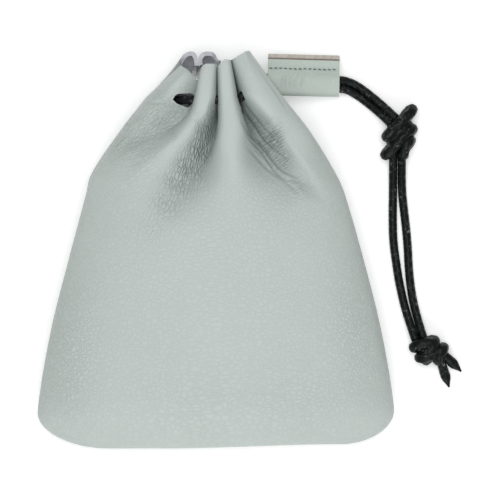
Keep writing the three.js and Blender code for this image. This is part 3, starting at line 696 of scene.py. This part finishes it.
def grained_leather(name, colour, shade, pebble_size=1.15):
    """Soft pebbled leather: cells of grain in the leather's own flat coordinates, whose creases deepen with
    the vertex value pebble, wider crumple cells with the value crumple, a fine hair grain, and painted
    shade: the colour goes to a darker shade in the creases, and darker still low in the gathers."""
    material, tree, shader = new_material(name)
    flat = flat_place(tree, "leather")
    stray = noise(tree, flat, scale=0.35, output="Color")
    warped = strayed(tree, flat, stray, 1.6)
    pebbles = cells(tree, warped, 1 / pebble_size, [(0.0, 0.0), (0.12, 0.62), (0.34, 1.0)])
    net = strayed(tree, flat_place(tree, "net"), stray, 0.36)
    folds = cells(tree, net, 1.0, [(0.0, 0.0), (0.14, 0.45), (0.5, 1.0)], randomness=0.85)
    hair = noise(tree, flat, scale=3.4, detail=3.0, roughness=0.6)
    cloud = noise(tree, flat, scale=0.05)

    pebble_drop = product(tree, math_node(tree, "SUBTRACT", 1.0, pebbles), vertex_value(tree, "pebble"))
    fold_drop = product(tree, math_node(tree, "SUBTRACT", 1.0, folds), vertex_value(tree, "crumple"))
    # How much painted shade each place gets: in the creases of the grain, of the wrinkle net and of the long
    # creases
    crease_shade = math_node(tree, "MAXIMUM", product(tree, pebble_drop, 0.5), fold_drop)
    crease_shade = math_node(tree, "MAXIMUM", crease_shade, product(tree, vertex_value(tree, "crease_shade"), 0.8))
    clouded = tuple(0.97 * c for c in colour)
    gather_shade_colour = tuple(0.45 * c for c in shade)
    tone = mix_colour(tree, ramp(tree, cloud, [(0.3, 0.0), (0.7, 1.0)]), colour, clouded)
    # Painted shade: the colour goes towards the shade colour in the creases
    tone = mix_colour(tree, product(tree, crease_shade, 0.62), tone, shade)
    # Painted shade, darker still where the gathers lie low under the crests
    tone = mix_colour(tree, product(tree, vertex_value(tree, "gather_shade"), 0.4), tone, gather_shade_colour)

    drop = math_node(tree, "ADD", product(tree, pebble_drop, 0.4), product(tree, fold_drop, 1.9))
    height = math_node(tree, "SUBTRACT", product(tree, hair, 0.09), drop)
    finish_surface(tree, shader, tone, height, distance=0.35 * MM)
    set_roughness(tree, shader, hair, 0.5, 0.66)
    shader.inputs["Specular IOR Level"].default_value = 0.35
    shader.inputs["Sheen Weight"].default_value = 0.05
    return material


def sewing_thread():
    """Dark green thread: two tones of a fine noise."""
    material, tree, shader = new_material("sewing_thread")
    fibre = noise(tree, object_place(tree), scale=4000.0)
    tone = mix_colour(tree, fibre, (0.05, 0.085, 0.075), (0.12, 0.17, 0.15))
    tree.links.new(tone, shader.inputs["Base Color"])
    shader.inputs["Roughness"].default_value = 0.7
    return material


def cut_leather(name, colour, dark):
    """The fibrous cut edge or flesh side of leather: two tones of a fine noise, and its bump. A vertex
    value paints a shadow on it."""
    material, tree, shader = new_material(name)
    fibre = noise(tree, object_place(tree), scale=900.0, detail=4.0, roughness=0.65)
    tone = mix_colour(tree, ramp(tree, fibre, [(0.35, 0.0), (0.65, 1.0)]), dark, colour)
    # Painted shadow, as strong as the vertex value says
    shadowed = mix_colour(tree, product(tree, vertex_value(tree, "step_shadow"), 0.85), tone, STEP_SHADOW)
    finish_surface(tree, shader, shadowed, fibre, distance=0.08 * MM, strength=0.7)
    shader.inputs["Roughness"].default_value = 0.85
    return material


def waxed_cord():
    """Near-black waxed braid: dark yarns under a thin glossy wax, with pale wax left in scattered creases
    of the braid and a soft fleck on the backs of the yarns."""
    material, tree, shader = new_material("waxed_cord")
    place = object_place(tree)
    coat = noise(tree, place, scale=300.0, detail=3.0, roughness=0.6)
    fleck = noise(tree, place, scale=1250.0, roughness=0.7)
    patch = ramp(tree, coat, [(0.5, 0.0), (0.68, 1.0)])
    speck = ramp(tree, fleck, [(0.55, 0.0), (0.69, 1.0)])
    wax = product(tree, patch, speck)
    base = mix_colour(tree, fleck, (0.0022, 0.003, 0.003), (0.006, 0.0085, 0.0085))
    waxed = mix_colour(tree, product(tree, wax, 0.5), base, PALE_WAX)
    height = math_node(tree, "ADD", fleck, product(tree, wax, 0.6))
    finish_surface(tree, shader, waxed, height, distance=0.12 * MM, strength=0.8)
    set_roughness(tree, shader, coat, 0.22, 0.5)
    shader.inputs["Specular IOR Level"].default_value = 0.17
    return material


PURSE_GRAIN = grained_leather("sage_leather", SAGE, SAGE_PAINTED_SHADE)
PURSE_FLESH = cut_leather("flesh_side", (0.82, 0.84, 0.86), (0.62, 0.64, 0.65))
PURSE_EDGE = cut_leather("cut_edge", (0.6, 0.61, 0.64), (0.47, 0.48, 0.52))
# The slider's leather, with its own colour of painted shade in the creases
SLIDER_GRAIN = grained_leather("slider_leather", (0.49, 0.56, 0.51), (0.22, 0.28, 0.25), pebble_size=1.0)
SLIDER_EDGE = cut_leather("slider_edge", (0.62, 0.58, 0.52), (0.47, 0.43, 0.38))
CORD_BLACK = waxed_cord()
THREAD = sewing_thread()


# Camera

def add_camera():
    """Straight above the purse, with the lens that spans VIEW_WIDTH at VIEW_LEVEL."""
    camera = bpy.data.cameras.new("camera")
    camera.sensor_width = SENSOR
    camera.lens = SENSOR * (CAMERA_AT[2] - VIEW_LEVEL) / VIEW_WIDTH
    camera.clip_start = 0.05
    holder = bpy.data.objects.new("camera", camera)
    holder.location = CAMERA_AT
    bpy.context.scene.collection.objects.link(holder)
    bpy.context.scene.camera = holder


add_camera()


# Free cords

def cord_piece(name, parts, replaced):
    """One piece of braided cord from its parts."""
    points, uv, faces = join_parts(parts)
    piece = add_piece(name, points, faces, [CORD_BLACK])
    give_uv(piece, uv)
    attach(piece, "root")
    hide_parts(replaced)
    return piece


def free_cord(name, route, replaced):
    """A braided strand along a route, with the path that it follows."""
    points = from_exit(route)
    return cord_piece(name, [cord_part(points)], replaced), smooth_path(points, 80)


def strand_exit(side):
    """Where a strand leaves the purse: side is 1 for the front strand and -1 for the back one."""
    return EXIT + np.array([0.0, side * STRAND_SPREAD / 2, 0.0])


def loop_path():
    """The drawstring's ring: half ellipses of the purse's width and depth in a plane that leans from
    left_up to right_up, from one strand at the exit round the neck to the other."""
    turn = mix(EXIT_ANGLE, 2 * math.pi - EXIT_ANGLE, np.linspace(0, 1, LOOP_POINTS + 1))
    c, s = np.cos(turn), np.sin(turn)
    rise = smooth((c - LOOP["rise_from"]) / (LOOP["rise_to"] - LOOP["rise_from"]))
    x = ((LOOP["right"] - LOOP["left"]) + (LOOP["right"] + LOOP["left"]) * c) / 2 * HALF_WIDTH
    y = BOTTOM_Y + mix(LOOP["left_up"], LOOP["right_up"], rise) * PURSE_HEIGHT
    z = ((LOOP["front"] + LOOP["back"]) + (LOOP["front"] - LOOP["back"]) * s) / 2 * PURSE_DEPTH
    ring = np.stack([x, y, z], axis=1)
    lead = np.array([-CORD, 0, 0])
    first, last = strand_exit(1), strand_exit(-1)
    return np.vstack([first, first + lead, ring, last + lead, last])


strand_front, strand_front_path = free_cord("strand_front_cord", STRAND_FRONT, "strand_front")
strand_back, strand_back_path = free_cord("strand_back_cord", STRAND_BACK, "strand_back")
run_left, run_left_path = free_cord("run_left_cord", RUN_LEFT, "run_left")
run_right, run_right_path = free_cord("run_right_cord", RUN_RIGHT, "run_right")
upper_knot = cord_piece(
    "upper_knot_cord",
    [wrap_part(*row) for row in UPPER_WRAPS] + [cord_part(from_exit(rows)) for rows in UPPER_CORES],
    "upper_knot",
)
end_knot = cord_piece(
    "end_knot_cord",
    [wrap_part(*row) for row in END_WRAPS]
    + [cord_part(from_exit(rows)) for rows in END_CORES]
    + [tail_part(*row) for row in TAILS],
    "end_knot",
)
cord_piece("drawstring_cord", [cord_part(loop_path(), (0, 1, 0))], "drawstring_loop")


# Purse panels

def at_height(up, column):
    """A column of SECTIONS at heights up: a cubic between each pair of rows, with the slope between the rows
    beside each."""
    rows, values = SECTIONS["up"], SECTIONS[column]
    last = len(rows) - 1
    before, after = np.maximum(np.arange(last + 1) - 1, 0), np.minimum(np.arange(last + 1) + 1, last)
    slope = (values[after] - values[before]) / (rows[after] - rows[before])
    i = np.clip(np.searchsorted(rows, up, side="left") - 1, 0, last - 1)
    span = rows[i + 1] - rows[i]
    t = clamp01((up - rows[i]) / span)
    return cubic(values[i], values[i + 1], span * slope[i], span * slope[i + 1], t)


def reach_at(up, x):
    """Half the width at heights up, on the side of x, less the rounding of the bottom corner."""
    rounding = 1 - round_edge(up * PURSE_HEIGHT / CORNER_HEIGHT)
    left = HALF_WIDTH * at_height(up, "left") - CORNER_REACH["left"] * rounding
    right = HALF_WIDTH * at_height(up, "right") - CORNER_REACH["right"] * rounding
    return np.where(x < 0, left, right)


def body_surface(front, across, up):
    """The unpleated body: a full front, a raised ellipse from seam to seam, over a back that is flat where
    it lies, with the bottom rolled in over BOTTOM_ROLL and its seam risen to the right."""
    seam = PURSE_DEPTH * at_height(up, "seam")
    top = PURSE_DEPTH * at_height(up, "depth")
    roll = round_edge(up * PURSE_HEIGHT / BOTTOM_ROLL)
    if front:
        turn = math.pi * across
        power = 2 / FRONT_FULLNESS
        x = -np.sign(np.cos(turn)) * np.abs(np.cos(turn)) ** power
        z = seam + (top - seam) * np.abs(np.sin(turn)) ** power * roll
    else:
        from_seam = np.minimum(across, 1 - across)
        bend = (1 - BACK_FLAT) / 2
        turn = math.pi / 2 * clamp01(from_seam / bend)
        flat = 1 - clamp01((from_seam - bend) / (0.5 - bend))
        x = np.sign(across - 0.5) * (BACK_FLAT * flat + (1 - BACK_FLAT) * np.cos(turn))
        z = seam * (1 - np.sin(turn) * roll)
    risen = BOTTOM_RISE * smooth((x - RISE_FROM) / (RISE_TO - RISE_FROM)) * (1 - clamp01(up / RISE_FADE))
    y = BOTTOM_Y + up * PURSE_HEIGHT + risen
    return np.stack(np.broadcast_arrays(x * reach_at(up, x), y, z), axis=-1)


def fold_columns(folds, count):
    """Where each column of a panel lies at the neck, loose and tight, and at the mouth, and how far down
    its fold reaches. Within a half fold, from its low end at s = 0 to its high end at s = 1, a loose fold
    rises as half a cosine wave, and a tight one climbs as a sine while it goes along as one less the
    cosine, both to the power PLEAT_SQUARE beside a valley."""
    parts = []
    for i, (a, b) in enumerate(zip(folds, folds[1:])):
        steps = max(10, round(count * (b["across"] - a["across"])))
        t = np.arange(steps + (i == len(folds) - 2)) / steps
        if a["kind"] == "valley":
            a_low = b["kind"] != "valley"
        else:
            a_low = a["kind"] == "seam" and b["kind"] == "ridge"
        low, high = (a, b) if a_low else (b, a)
        s = t if a_low else 1 - t
        side = 1 if a_low else 0
        tight = low["tight"][side]
        sideways = high["kind"] == "seam"
        square = PLEAT_SQUARE if low["kind"] == "valley" and not sideways else 1
        wave = (1 - np.cos(math.pi * s)) / 2
        arc_along = 1 - clamp01(np.cos(math.pi / 2 * s)) ** square
        arc_out = np.sin(math.pi / 2 * s) ** square
        along, out = mix(s, arc_along, tight), mix(wave, arc_out, tight)
        across_rim, up_rim = (out, along) if sideways else (along, out)
        swing = (-1 if a_low else 1) * high["bulge"] * np.sin(math.pi * s)
        part = {
            "loose_x": mix(low["neck"][0], high["neck"][0], wave if sideways else s),
            "loose_z": mix(low["neck"][1], high["neck"][1], s if sideways else wave),
            "tight_x": mix(low["neck"][0], high["neck"][0], across_rim),
            "tight_z": mix(low["neck"][1], high["neck"][1], up_rim),
            "rim_x": mix(low["rim"][0], high["rim"][0], across_rim) + swing,
            "rim_y": mix(low["rim"][1], high["rim"][1], mix(out, along, high["straight"])),
            "rim_z": mix(low["rim"][2], high["rim"][2], up_rim),
            "close": np.full(len(t), low["close"][side]),
        }
        for name in ("across", "gather", "fade", "curl", "shallow"):
            part[name] = mix(a[name], b[name], t)
        parts.append(part)
    return {name: np.concatenate([part[name] for part in parts]) for name in parts[0]}


def panel_rows():
    """Heights of a panel's rows: close at the rolled bottom and above the shoulder."""
    roll = BOTTOM_ROLL / PURSE_HEIGHT
    low = BODY_ROWS // 4
    return np.concatenate([
        roll * (1 - np.cos(math.pi / 2 * np.arange(low) / low)),
        np.linspace(roll, SHOULDER, BODY_ROWS - low, endpoint=False),
        np.linspace(SHOULDER, 1, SHOULDER_ROWS),
    ])


def panel_surface(front, columns, rows):
    """The outer face of a panel. Each column goes from the body to its gathered place between its fade and
    its gather height, and from the neck straight to its place on the rim."""
    row = rows[:, None]
    up = np.minimum(row, NECK)
    col = {name: value[None, :] for name, value in columns.items()}
    share = smooth((up - col["fade"]) / (col["gather"] - col["fade"]))[..., None]
    body = body_surface(front, col["across"], up)
    closed = smooth((up - col["close"]) / CLOSE_SPAN + 1)
    neck_x = mix(col["loose_x"], col["tight_x"], closed)
    neck_z = mix(col["loose_z"], col["tight_z"], closed)
    gathered = np.stack(np.broadcast_arrays(
        neck_x * reach_at(up, neck_x),
        BOTTOM_Y + up * PURSE_HEIGHT,
        neck_z * PURSE_DEPTH * at_height(up, "depth"),
    ), axis=-1)
    points = mix(body, gathered, np.concatenate([share, share, share ** col["shallow"][..., None]], axis=-1))
    rim = np.stack([
        col["rim_x"] * HALF_WIDTH,
        BOTTOM_Y + col["rim_y"] * PURSE_HEIGHT,
        col["rim_z"] * PURSE_DEPTH,
    ], axis=-1)
    above = clamp01((row - NECK) / (1 - NECK))
    turned = col["curl"] * above * (1 - above)
    risen = np.stack(np.broadcast_arrays(above + turned, above + turned, above - turned), axis=-1)
    points = mix(points, rim, risen)
    seam_share = clamp01(2 - 2 * np.minimum(col["across"], 1 - col["across"]) / GAP_ACROSS)
    bottom_share = clamp01(2 - 2 * row / GAP_UP)
    points[..., 2] += (1 if front else -1) * SEAM_GAP / 2 * np.maximum(seam_share, bottom_share)
    return points


def face_inward(points, side):
    """Which way is inwards from each point: against the cross product of the surface's two directions, and
    level, across the seam's own line, on the seams. Each is then evened with its four neighbours."""
    across = np.gradient(points, axis=1)
    up = np.gradient(points, axis=0)
    inward = unit(np.cross(across, up)) * -side
    edges = ((np.s_[:, 0], up[:, 0], -1), (np.s_[:, -1], up[:, -1], 1), (np.s_[0, :], across[0], 1))
    for edge, line, turn in edges:
        level = np.stack([-line[:, 1] * turn, line[:, 0] * turn, np.zeros(len(line))], axis=-1)
        inward[edge] = unit(level)
    for corner, line in (((0, 0), points[0, 1] - points[1, 0]), ((0, -1), points[1, -1] - points[0, -2])):
        inward[corner] = unit(np.array([-line[1], line[0], 0.0]))
    for _ in range(INWARD_SMOOTHING):
        beside = inward[:-2, 1:-1] + inward[2:, 1:-1] + inward[1:-1, :-2] + inward[1:-1, 2:]
        inward[1:-1, 1:-1] = unit(inward[1:-1, 1:-1] + beside)
    return inward


def wall_faces(rows, columns, flip):
    """Faces of a closed wall between an outer grid and the inner grid that follows it, and their materials:
    0 for the outer face, 1 for the inner and 2 for the cut edges."""
    outer = grid_faces(rows, columns)
    n = rows * columns
    faces = [outer, outer[:, ::-1] + n]
    place = np.arange(n).reshape(rows, columns)
    for line, onward in ((place[0], False), (place[-1], True), (place[:, 0], True), (place[:, -1], False)):
        a, b = line[:-1], line[1:]
        faces.append(np.stack([a, b, b + n, a + n] if onward else [a, a + n, b + n, b], axis=1))
    faces = np.vstack(faces)
    material = np.repeat([0, 1, 2], [len(outer), len(outer), len(faces) - 2 * len(outer)])
    return (faces[:, ::-1] if flip else faces), material


def spots(x, y, rows):
    """The strongest of several soft spots at each place: strength times a bell curve of the distance."""
    value = np.zeros_like(x)
    for at_x, at_y, reach_x, reach_y, strength in rows:
        square = ((x - at_x) / reach_x) ** 2 + ((y - at_y) / reach_y) ** 2
        value = np.maximum(value, strength * np.exp(-square))
    return value


def crease_drop(x, y):
    """How far the long creases sink the leather, in metres: a bell curve of the distance to each curve,
    with a low lip on both sides, dying out at the curve's ends."""
    drop = np.zeros_like(x)
    for points, depth, width in CREASES:
        line = smooth_path([(px, py, 0.0) for px, py in points], 60)[:, :2]
        middle_x, middle_y = line.mean(axis=0)
        near = (np.abs(x - middle_x) < CREASE_REACH[0]) & (np.abs(y - middle_y) < CREASE_REACH[1])
        gap = np.hypot(x[near][:, None] - line[:, 0], y[near][:, None] - line[:, 1])
        place = gap.argmin(axis=1) / (len(line) - 1)
        gap = gap.min(axis=1)
        strength = depth * np.sin(math.pi * np.clip(place, 0.03, 0.97)) ** 0.6
        lip = CREASE_LIP * np.exp(-(((gap - 1.7 * width) / width) ** 2))
        drop[near] += strength * (np.exp(-((gap / width) ** 2)) - lip)
    return drop * MM


def pull_net(x, y):
    """The map of the wrinkle net: the angle and the distance from the neck, in cells."""
    dx, dy = x - PULL_AT[0], PULL_AT[1] - y
    angle, reach = np.arctan2(dx, dy), np.hypot(dx, dy)
    right = x > RIDGE_X
    cell_angle = np.where(right, CELL_RIGHT[0], CELL_LEFT[0])
    cell_reach = np.where(right, CELL_RIGHT[1], CELL_LEFT[1])
    return np.stack([(angle / cell_angle).ravel(), (reach / cell_reach).ravel()], axis=1)


def gather_shade_mask(front, columns, rows, z):
    """The painted shade in the gathers, from 0 to 1: each place's depth under the crests, from the shoulder
    to the rim, and away from the seams."""
    if not front:
        return np.zeros_like(z)
    across, row = columns["across"][None, :], rows[:, None]
    crest = PURSE_DEPTH * at_height(np.minimum(row, NECK), "depth")
    depth = smooth((DEEP_UNDER * crest - z) / (DEEP_SPAN * crest))
    above = smooth((row - DEEP_FROM) / DEEP_FADE)
    aside = smooth((np.minimum(across, 1 - across) - DEEP_ASIDE) / DEEP_FADE)
    return depth * above * aside


def add_panel(front):
    """One leather panel: its outer face with the creases pressed in, the same face moved in by the leather,
    and the cut edges between them."""
    columns = fold_columns(FRONT_FOLDS if front else BACK_FOLDS, PANEL_COLUMNS)
    rows = panel_rows()
    points = panel_surface(front, columns, rows)
    inward = face_inward(points, 1 if front else -1)
    x, y = points[..., 0] / MM, points[..., 1] / MM
    inner = points + inward * LEATHER
    sunk = crease_drop(x, y) if front else np.zeros_like(x)
    points = points + inward * sunk[..., None]
    faces, material = wall_faces(*x.shape, flip=not front)
    name = "purse_front_leather" if front else "purse_back_leather"
    everything = np.vstack([points.reshape(-1, 3), inner.reshape(-1, 3)])
    piece = add_piece(name, everything, faces, [PURSE_GRAIN, PURSE_FLESH, PURSE_EDGE], material)
    u = np.broadcast_to(columns["across"][None, :] * FLAT_WIDTH, x.shape)
    v = np.broadcast_to(rows[:, None] * PURSE_HEIGHT / MM, x.shape)
    give_uv(piece, np.tile(np.stack([u.ravel(), v.ravel()], axis=1), (2, 1)))
    give_uv(piece, np.tile(pull_net(x, y), (2, 1)), "net")
    if front:
        ridges = spots(x, y, SMOOTH_SPOTS)
        pebble = np.clip(FRONT_PEBBLE + spots(x, y, PEBBLE_SPOTS) - 0.5 * ridges, 0.08, 1)
        crumple = np.clip(spots(x, y, CRUMPLE_SPOTS) - ridges, 0, 1)
    else:
        pebble = np.full_like(x, BACK_PEBBLE)
        crumple = BACK_CRUMPLE * smooth((rows[:, None] - 0.6) / 0.2) * np.ones_like(x)
    # The first two values mask painted shade, in the gathers and in the long creases
    values = {
        "gather_shade": gather_shade_mask(front, columns, rows, points[..., 2]),
        "crease_shade": np.clip(sunk / CREASE_SHADE_DEPTH, 0, 1),
        "pebble": pebble,
        "crumple": crumple,
    }
    for value_name, value in values.items():
        give_value(piece, value_name, np.tile(value.ravel(), 2))
    return piece


def plain_tube(path, radius):
    """A smooth closed tube: each point of the path, plus the radius turned round it in TUBE_SIDES steps."""
    first, second = ring_directions(unit(np.gradient(path, axis=0)), np.array([0.0, 1.0, 0.0]))
    angle = np.linspace(0, 2 * math.pi, TUBE_SIDES, endpoint=False)[None, :, None]
    turned = np.cos(angle) * first[:, None, :] + np.sin(angle) * second[:, None, :]
    return (path[:, None, :] + radius * turned).reshape(-1, 3), capped_faces(len(path), TUBE_SIDES)


def channel_cutters():
    """What the drawstring needs free in the leather: a tube round its ring, straight on past the exit, the
    round hole punched there, and the slit on the left."""
    beyond = np.array([CORD, 0, 0])
    ring = loop_path()
    path = smooth_path(np.vstack([ring[0] + beyond, ring, ring[-1] + beyond]), 160)
    hole_at = strand_exit(1) + np.array([0, 0, EXIT_HOLE_RISE])
    reach = np.array([EXIT_HOLE / 2, 0, 0])
    return [
        plain_tube(path, CORD / 2 + CORD_CLEARANCE),
        plain_tube(np.array([hole_at - reach, hole_at + reach]), EXIT_HOLE / 2),
        slit_prism(),
    ]


def slit_prism():
    """The slit that the drawstring pulls open to a wedge on the left: its outline through SLIT_DEEP."""
    ring = smooth_path([(x, y, 0.0) for x, y in SLIT + SLIT[:1]], 33)[:-1] * MM
    low, high = (ring + [0.0, 0.0, z * MM] for z in SLIT_DEEP)
    return np.vstack([low, high]), capped_faces(2, len(ring))


def cut_free(piece, cutters):
    """Takes the drawstring's channel out of a panel, and keeps the result as its mesh."""
    for points, faces in cutters:
        cutter = add_piece("channel", points, faces, [PURSE_EDGE])
        modifier = piece.modifiers.new("channel", "BOOLEAN")
        modifier.operation = "DIFFERENCE"
        modifier.solver = "MANIFOLD"
        modifier.object = cutter
        modifier.material_mode = "TRANSFER"
        depsgraph = bpy.context.evaluated_depsgraph_get()
        result = piece.evaluated_get(depsgraph)
        cut = bpy.data.meshes.new_from_object(result, preserve_all_data_layers=True, depsgraph=depsgraph)
        piece.modifiers.clear()
        piece.data = cut
        bpy.data.objects.remove(cutter)
    piece.data.shade_smooth()
    piece.data.set_sharp_from_angle(angle=math.radians(55))


def finish_panel(front):
    """A panel with the drawstring's way cut out of it, in the place of its solid."""
    piece = add_panel(front)
    cut_free(piece, channel_cutters())
    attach(piece, "root")
    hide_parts("purse_front" if front else "purse_back")
    return piece


finish_panel(True)
finish_panel(False)


# Slider

def slider_middle():
    """The middle line of the folded strip, seen from its end: from the lower end of the flap round the tube
    to the upper end."""
    half_wide = (SLIDER_TUBE - SLIDER_WALL) / 2
    half_tall = (SLIDER_INSIDE + SLIDER_WALL) / 2
    pressed = (SLIDER_WALL + PIECE_GAP) / 2
    flap_end = SLIDER_TUBE / 2 + SLIDER_FLAP
    upper = [(side * half_wide, rise * half_tall, 0.0) for side, rise in SLIDER_SECTION]
    upper.append((FLAP_START * half_wide, pressed, 0.0))
    lower = [(x, -y, 0.0) for x, y, _ in reversed(upper[1:])]
    return [(flap_end, -pressed, 0.0), *lower, *upper, (flap_end - SLIDER_STEP, pressed, 0.0)]


def slider_axes():
    """Directions along the slider, away from the purse, across it towards its flap, and up from it."""
    fall = EXIT[2] - (SLIDER_INSIDE / 2 + SLIDER_WALL + PIECE_GAP)
    lean = math.asin(fall / SLIDER_LENGTH)
    turned = np.array([
        [math.cos(SLIDER_ANGLE), -math.sin(SLIDER_ANGLE), 0],
        [math.sin(SLIDER_ANGLE), math.cos(SLIDER_ANGLE), 0],
        [0, 0, 1],
    ])
    leaned = np.array([[math.cos(lean), 0, math.sin(lean)], [0, 1, 0], [-math.sin(lean), 0, math.cos(lean)]])
    axes = turned @ leaned
    return axes[:, 0], axes[:, 1], axes[:, 2]


def slider_outline():
    """The strip's outline round its middle line, its visible end bevelled, and the length along it."""
    middle = smooth_path(slider_middle(), SLIDER_OUTLINE)
    tangent = unit(np.gradient(middle, axis=0))
    normal = np.stack([-tangent[:, 1], tangent[:, 0]], axis=1)
    length = lengths_along(middle)
    one = middle[:, :2] + normal * SLIDER_WALL / 2
    other = middle[:, :2] - normal * SLIDER_WALL / 2
    upper = one if one[-1, 1] > other[-1, 1] else other
    upper[-1, 0] -= SLIDER_BEVEL
    return np.vstack([one, other[::-1]]), np.concatenate([length, length[::-1]])


def slider_place(s, across, up):
    """Points of the slider's space, s along it: its ends stand upright, so each point is moved back along
    it by its height times the tangent of the lean."""
    along_axis, across_axis, up_axis = slider_axes()
    slope = -along_axis[2] / math.hypot(along_axis[0], along_axis[1])
    start = EXIT + np.array([2 * PIECE_GAP, 0, 0])
    along = (s - up * slope)[..., None] * along_axis
    return start + along + across[..., None] * across_axis + up[..., None] * up_axis


def slider_drop(s, across):
    """How far the slider's upper side is drawn in, in metres: bell curves across its row of stitches,
    pulsing with their pitch, and a curved dent with a low lip for each soft wrinkle over the tube."""
    from_line = (across - STITCH_AT) / MM
    pulse = np.cos(2 * math.pi * s / STITCH_PITCH)
    pucker = np.exp(-((from_line / 0.34) ** 2)) * (0.45 + 0.55 * pulse)
    ripple = 0.3 * np.exp(-(((np.abs(from_line) - 0.75) / 0.4) ** 2)) * pulse
    drop = STITCH_DRAW * (pucker - ripple)
    over = across / MM
    fading = np.exp(-(((over - 0.3) / 2.2) ** 2))
    for from_s in WRINKLES:
        gap = s / MM - from_s - 0.07 * (over + 0.5) ** 2
        dent = np.exp(-((gap / 0.28) ** 2)) - 0.4 * np.exp(-(((gap - 0.5) / 0.3) ** 2))
        drop = drop + WRINKLE_DEPTH * fading * dent
    return drop


def add_slider():
    """The strip's outline carried along the slider, drawn in at the stitches and softly wrinkled over the
    tube."""
    outline, length = slider_outline()
    count = len(outline)
    s = np.linspace(0, SLIDER_LENGTH, SLIDER_ROWS)[:, None]
    across = np.broadcast_to(outline[None, :, 0], (SLIDER_ROWS, count))
    up = np.broadcast_to(outline[None, :, 1], (SLIDER_ROWS, count))
    up = up - slider_drop(s, across) * smooth(up / (0.6 * MM))
    up = up + SLIDER_WAVE * np.sin(0.9 * s / MM) * np.cos(0.7 * across / MM)
    points = slider_place(np.broadcast_to(s, up.shape), across, up).reshape(-1, 3)
    faces = capped_faces(SLIDER_ROWS, count)[:, ::-1]
    half = count // 2
    c = np.tile(np.arange(count), SLIDER_ROWS - 1)
    side = np.where((c == half - 1) | (c == count - 1), 2, np.where(c < half, 0, 1))
    material = np.concatenate([side, np.full(len(faces) - len(side), 2)])
    piece = add_piece("slider_leather", points, faces, [SLIDER_GRAIN, SLIDER_EDGE, SLIDER_EDGE], material)
    uv = np.stack([np.tile(length / MM, SLIDER_ROWS), np.repeat(s / MM, count)], axis=1)
    give_uv(piece, uv)
    give_uv(piece, uv * [0.8, 0.5], "net")
    give_value(piece, "pebble", np.full(len(points), 0.3))
    give_value(piece, "crumple", 0.12 * np.exp(-(((across - STITCH_AT) / (1.6 * MM)) ** 2)).ravel())
    # Painted shadow along the lower flap, just past the end of the upper flap
    shadow_at = SLIDER_TUBE / 2 + SLIDER_FLAP - SLIDER_STEP + 0.1 * MM
    give_value(piece, "step_shadow", np.exp(-(((across - shadow_at) / (0.22 * MM)) ** 2)).ravel())
    piece.data.set_sharp_from_angle(angle=math.radians(50))
    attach(piece, "root")
    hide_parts("slider")
    return piece


def stitch_part(k, level):
    """One short thread: a rounded bar along the slider, arched so that its ends are sunk in the leather, and
    lying a little askew."""
    t = np.linspace(-1, 1, STITCH_RINGS)[:, None]
    angle = np.linspace(0, 2 * math.pi, STITCH_SIDES, endpoint=False)
    middle = 0.2 * MM + (k + 0.5) * STITCH_PITCH
    radius = STITCH_THICK / 2 * np.sqrt(1 - 0.96 * t**4)
    across = STITCH_AT + STITCH_STRAY * math.sin(7.3 * k) * (1 + t) + radius * np.cos(angle)
    up = level + STITCH_THICK * (0.3 - 0.5 * t**4) + radius * np.sin(angle)
    s = np.broadcast_to(middle + t * STITCH_LENGTH / 2, up.shape)
    points = slider_place(s, across, up).reshape(-1, 3)
    return points, np.zeros((len(points), 2)), capped_faces(STITCH_RINGS, STITCH_SIDES)


def add_stitches():
    """A row of short threads lying on the flap, their ends sunk in it."""
    outline, _ = slider_outline()
    near = np.abs(outline[:, 0] - STITCH_AT) < 0.3 * MM
    level = outline[near, 1].max() - 0.4 * STITCH_DRAW
    count = int((SLIDER_LENGTH - 0.5 * MM) / STITCH_PITCH)
    points, _, faces = join_parts([stitch_part(k, level) for k in range(count)])
    piece = add_piece("slider_stitches", points, faces, [THREAD])
    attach(piece, "root")
    return piece


slider = add_slider()
add_stitches()


# Floor and light

def add_floor():
    """The pale floor, which glows a little so that it stays as light as in the photo."""
    material, tree, shader = new_material("pale_floor")
    shader.inputs["Base Color"].default_value = (0.93, 0.93, 0.93, 1)
    shader.inputs["Roughness"].default_value = 0.9
    shader.inputs["Specular IOR Level"].default_value = 0.1
    shader.inputs["Emission Color"].default_value = (1, 1, 1, 1)
    shader.inputs["Emission Strength"].default_value = 0.22
    corners = FLOOR_HALF * np.array([(-1, -1, 0), (1, -1, 0), (1, 1, 0), (-1, 1, 0)], float)
    floor = add_piece("floor", corners, np.array([[0, 1, 2, 3]]), [material])


def add_softbox(name, place, size, power):
    """A wide soft light that points to the origin."""
    light = bpy.data.lights.new(name, "AREA")
    light.shape = "RECTANGLE"
    light.size, light.size_y = size
    light.energy = power
    holder = bpy.data.objects.new(name, light)
    holder.location = place
    way = Vector((0.0, 0.0, 0.0)) - Vector(place)
    holder.rotation_euler = way.to_track_quat("-Z", "Y").to_euler()
    bpy.context.scene.collection.objects.link(holder)


def add_light():
    """An even white surround and the soft lights."""
    world = bpy.data.worlds.new("studio")
    world.use_nodes = True
    background = world.node_tree.nodes["Background"]
    background.inputs["Color"].default_value = (1, 1, 1, 1)
    background.inputs["Strength"].default_value = 0.4
    bpy.context.scene.world = world
    for softbox in SOFTBOXES:
        add_softbox(*softbox)
    bpy.context.scene.view_settings.view_transform = "Standard"


add_floor()
add_light()
